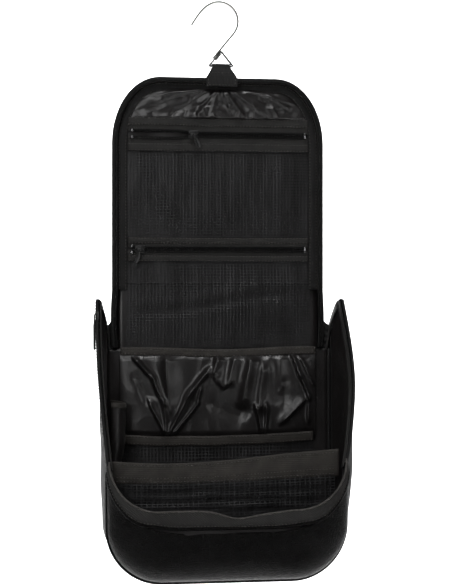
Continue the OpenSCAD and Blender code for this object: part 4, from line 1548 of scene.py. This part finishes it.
# ---- Hook, ring and tab ----
class BAG_OT_hanger(bpy.types.Operator):
    """Steel hook with its rolled end, the triangular ring, and the webbing tab"""
    bl_idname = "bag.hanger"
    bl_label = "Hook, ring and tab"

    def execute(self, context):
        self.hook()
        self.ring()
        self.tab()
        return {"FINISHED"}

    def hook(self):
        mount = next(m for m in frame["record"]["mounts"] if m["name"] == "rail_seat")
        wide = mount["dims"]["length_mm"] * MM
        radius = mount["dims"]["r_mm"] * MM + 1 * MM
        tip = Vector(JOINT["hook_swivel"]["pos_m"])
        leg = Vector(JOINT["hook_swivel"]["axis"]).normalized()
        across_leg = Vector((-leg.z, 0, leg.x))
        end_a = math.atan2(across_leg.z, across_leg.x)
        bend_a = math.radians(118)
        turn = Vector((radius * math.cos(bend_a), 0, radius * math.sin(bend_a)))
        tip_at = Vector((-26, 0, -4.5)) * MM
        near = turn + Vector((-math.sin(bend_a), 0, math.cos(bend_a))) * 9 * MM
        far = tip_at + Vector((0.52, 0, 0.85)) * 8 * MM
        path = []
        for i in range(30):
            t = i / 30
            path.append(tip_at * (1 - t) ** 3 + far * 3 * t * (1 - t) ** 2
                        + near * 3 * t * t * (1 - t) + turn * t ** 3)
        path += [Vector((radius * math.cos(a), 0, radius * math.sin(a)))
                 for a in [mix(bend_a, end_a, i / 60) for i in range(61)]]
        centre = tip + leg * 6 * MM
        shank_end = path[-1] + leg * (centre - path[-1]).dot(leg)
        path += line(path[-1], shank_end, 24)[1:]
        bm = bmesh.new()
        sweep(bm, path, (0, 1, 0), band_profile(wide, 2 * MM, 0.72))
        for vert in bm.verts:
            near_tip = (vert.co - path[0]).length
            if near_tip < 9 * MM:
                vert.co.y *= mix(0.55, 1.0, smooth(near_tip / (9 * MM)))
        roll = [centre + leg * (mix(-4, 4, i / 12) * MM) for i in range(13)]
        sweep(bm, roll, (0, 1, 0), tube_profile(2.35 * MM, 20))
        sharp = [e for e in bm.edges if e.is_manifold and e.calc_face_angle(0) > 1.0]
        bmesh.ops.bevel(bm, geom=sharp, offset=0.3 * MM, segments=2, profile=0.5, affect="EDGES", material=-1)
        outwards(bm)
        made = piece("steel_hook", bm, "steel", "hook")
        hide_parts("hook")

    def ring(self):
        lo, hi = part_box("hanging_ring")
        r = 1.1 * MM
        corners = [Vector((lo.x + r, 0, lo.z + r)), Vector(((lo.x + hi.x) / 2, 0, hi.z - r)),
                   Vector((hi.x - r, 0, lo.z + r))]
        path = []
        for i, corner in enumerate(corners):
            before, after = corners[i - 1], corners[(i + 1) % 3]
            a = corner + (before - corner).normalized() * 1.5 * MM
            b = corner + (after - corner).normalized() * 1.5 * MM
            for k in range(7):
                t = k / 6
                path.append((a.lerp(corner, t)).lerp(corner.lerp(b, t), t))
        path.append(path[0].copy())
        made = swept("triangle_ring", path, (0, 1, 0), tube_profile(r, 14), "bright", "ring")
        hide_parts("hanging_ring")

    def tab(self):
        """Webbing folded over the ring and sewn over the cover's rim."""
        lo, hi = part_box("hanging_tab")
        ring_z = Vector(JOINT["ring_swing"]["pos_m"]).z
        middle = (lo.x + hi.x) / 2
        bm = bmesh.new()
        threads = bmesh.new()

        def width(z):
            return mix(8.6 * MM, 15 * MM, smooth((ring_z + 1 * MM - z) / (16 * MM)))

        def front_f(z):
            over_rim = smooth((ring_z - z) / (11 * MM))
            return mix(10.0 * MM, 15.6 * MM, over_rim)

        def shape(u, v):
            if v < 0.25:
                z = mix(COVER_TOP - 3 * MM, ring_z, v / 0.25)
                f = mix(3.5 * MM, 6.0 * MM, v / 0.25)
            elif v < 0.4:
                a = (v - 0.25) / 0.15 * math.pi
                z = ring_z + 2.3 * MM * math.sin(a)
                f = 8.0 * MM - 2.0 * MM * math.cos(a)
            else:
                z = mix(ring_z, lo.z, (v - 0.4) / 0.6)
                f = front_f(z)
            x = (2 * u - 1) * width(z)
            cup = 0.5 * MM * math.sin(math.pi * u)
            return place(middle + x, f + cup, z)
        across(bm, 26, 60, shape)
        thicken(bm, 1.3 * MM, (0, -1, 0))
        made = piece("webbing_tab", bm, "webbing", "cover")
        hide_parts("hanging_tab")
        for v in (0.62, 0.97):
            row = [shape(mix(0.08, 0.92, i / 30), v) for i in range(31)]
            stitches(threads, moved(row, 0, -0.2 * MM, 0), (0, -1, 0))
        for u in (0.08, 0.92):
            row = [shape(u, mix(0.62, 0.97, i / 20)) for i in range(21)]
            stitches(threads, moved(row, 0, -0.2 * MM, 0), (0, -1, 0))
        piece("webbing_stitches", threads, "thread", "cover")


# ---- Stage ----
class BAG_OT_stage(bpy.types.Operator):
    """Pale floor and backdrop, soft lights and the camera"""
    bl_idname = "bag.stage"
    bl_label = "Stage"

    def execute(self, context):
        self.backdrop()
        self.lights()
        self.camera()
        return {"FINISHED"}

    def backdrop(self):
        """A floor that curves up into a wall behind the bag."""
        bm = bmesh.new()
        floor = FLOOR_Z - 0.5
        front, flat, turn, radius, total = -3.2, 4, 1.5, 0.95, 9
        wall = front + flat

        def shape(u, v):
            x = mix(-6, 6, u)
            run = v * total
            if run < flat:
                return Vector((x, run + front, floor))
            if run < flat + turn:
                a = (run - flat) / turn * math.pi / 2
                return Vector((x, wall + radius * math.sin(a), floor + radius * (1 - math.cos(a))))
            return Vector((x, wall + radius, floor + radius + run - flat - turn))
        across(bm, 24, 90, shape)
        outwards(bm, (0, -1, 0.3))
        made = piece("backdrop", bm, "floor")

    def lights(self):
        world = bpy.data.worlds.new("studio")
        bpy.context.scene.world = world
        world.use_nodes = True
        background = world.node_tree.nodes["Background"]
        background.inputs["Color"].default_value = (1.0, 0.98, 0.96, 1)
        background.inputs["Strength"].default_value = 0.018
        bpy.context.scene.view_settings.view_transform = "Standard"
        for name, at, size, power in (
            ("key_light", (-0.5, -1.3, 0.9), 0.4, 3.6),
            ("front_light", (-0.75, -1.5, 0.0), 0.35, 4.2),
            ("fill_light", (1.1, -1.1, -0.1), 0.4, 1.8),
            ("top_light", (0.05, -0.55, 1.1), 0.3, 6),
            ("wall_light", (0, 0.9, 0.6), 2.0, 120),
        ):
            lamp = bpy.data.lights.new(name, "AREA")
            lamp.size = size
            lamp.energy = power
            made = bpy.data.objects.new(name, lamp)
            made.location = at
            target = Vector((0, 1.75, -0.3)) if name == "wall_light" else Vector((0, 0, -0.25))
            made.rotation_euler = (target - Vector(at)).to_track_quat("-Z", "Y").to_euler()
            bpy.context.scene.collection.objects.link(made)

    def camera(self):
        turn = math.radians(-7)
        distance = 1.25
        view_height = 554.8 * MM
        sensor_height = 24
        target = Vector((8 * MM, BACK, -255 * MM))
        camera = bpy.data.cameras.new("camera")
        made = bpy.data.objects.new("camera", camera)
        made.location = target + Vector((math.sin(turn), -math.cos(turn), 0)) * distance
        made.rotation_euler = (math.pi / 2, 0, turn)
        camera.sensor_fit = "VERTICAL"
        camera.sensor_height = sensor_height
        camera.lens = sensor_height * distance / view_height
        bpy.context.scene.collection.objects.link(made)
        bpy.context.scene.camera = made


# ---- Panel ----
STEPS = (
    "outer_back", "sides", "front", "back_edge", "cover_rim", "cover_lining", "pocket_zips",
    "cover_pockets", "neck", "back_inside", "divider", "mouth", "sliders", "hanger", "stage",
)


class BAG_PT_panel(bpy.types.Panel):
    """Settings and building steps of the bag"""
    bl_idname = "BAG_PT_panel"
    bl_label = "Wash bag"
    bl_space_type = "VIEW_3D"
    bl_region_type = "UI"
    bl_category = "Wash bag"

    def draw(self, context):
        for group in (context.scene.bag_sizes, context.scene.bag_colours):
            box = self.layout.box()
            for key in group.__annotations__:
                box.prop(group, key)
        for step in STEPS:
            self.layout.operator(f"bag.{step}")


CLASSES = (
    BagSizes, BagColours, BAG_OT_outer_back, BAG_OT_sides, BAG_OT_front, BAG_OT_back_edge,
    BAG_OT_cover_rim, BAG_OT_cover_lining, BAG_OT_pocket_zips, BAG_OT_cover_pockets,
    BAG_OT_neck, BAG_OT_back_inside, BAG_OT_divider, BAG_OT_mouth, BAG_OT_sliders,
    BAG_OT_hanger, BAG_OT_stage, BAG_PT_panel,
)


def register():
    for made in CLASSES:
        bpy.utils.register_class(made)
    bpy.types.Scene.bag_sizes = PointerProperty(type=BagSizes)
    bpy.types.Scene.bag_colours = PointerProperty(type=BagColours)


def unregister():
    del bpy.types.Scene.bag_colours
    del bpy.types.Scene.bag_sizes
    for made in reversed(CLASSES):
        bpy.utils.unregister_class(made)


def main():
    register()
    for step in STEPS:
        getattr(bpy.ops.bag, step)()


if __name__ == "__main__":
    main()
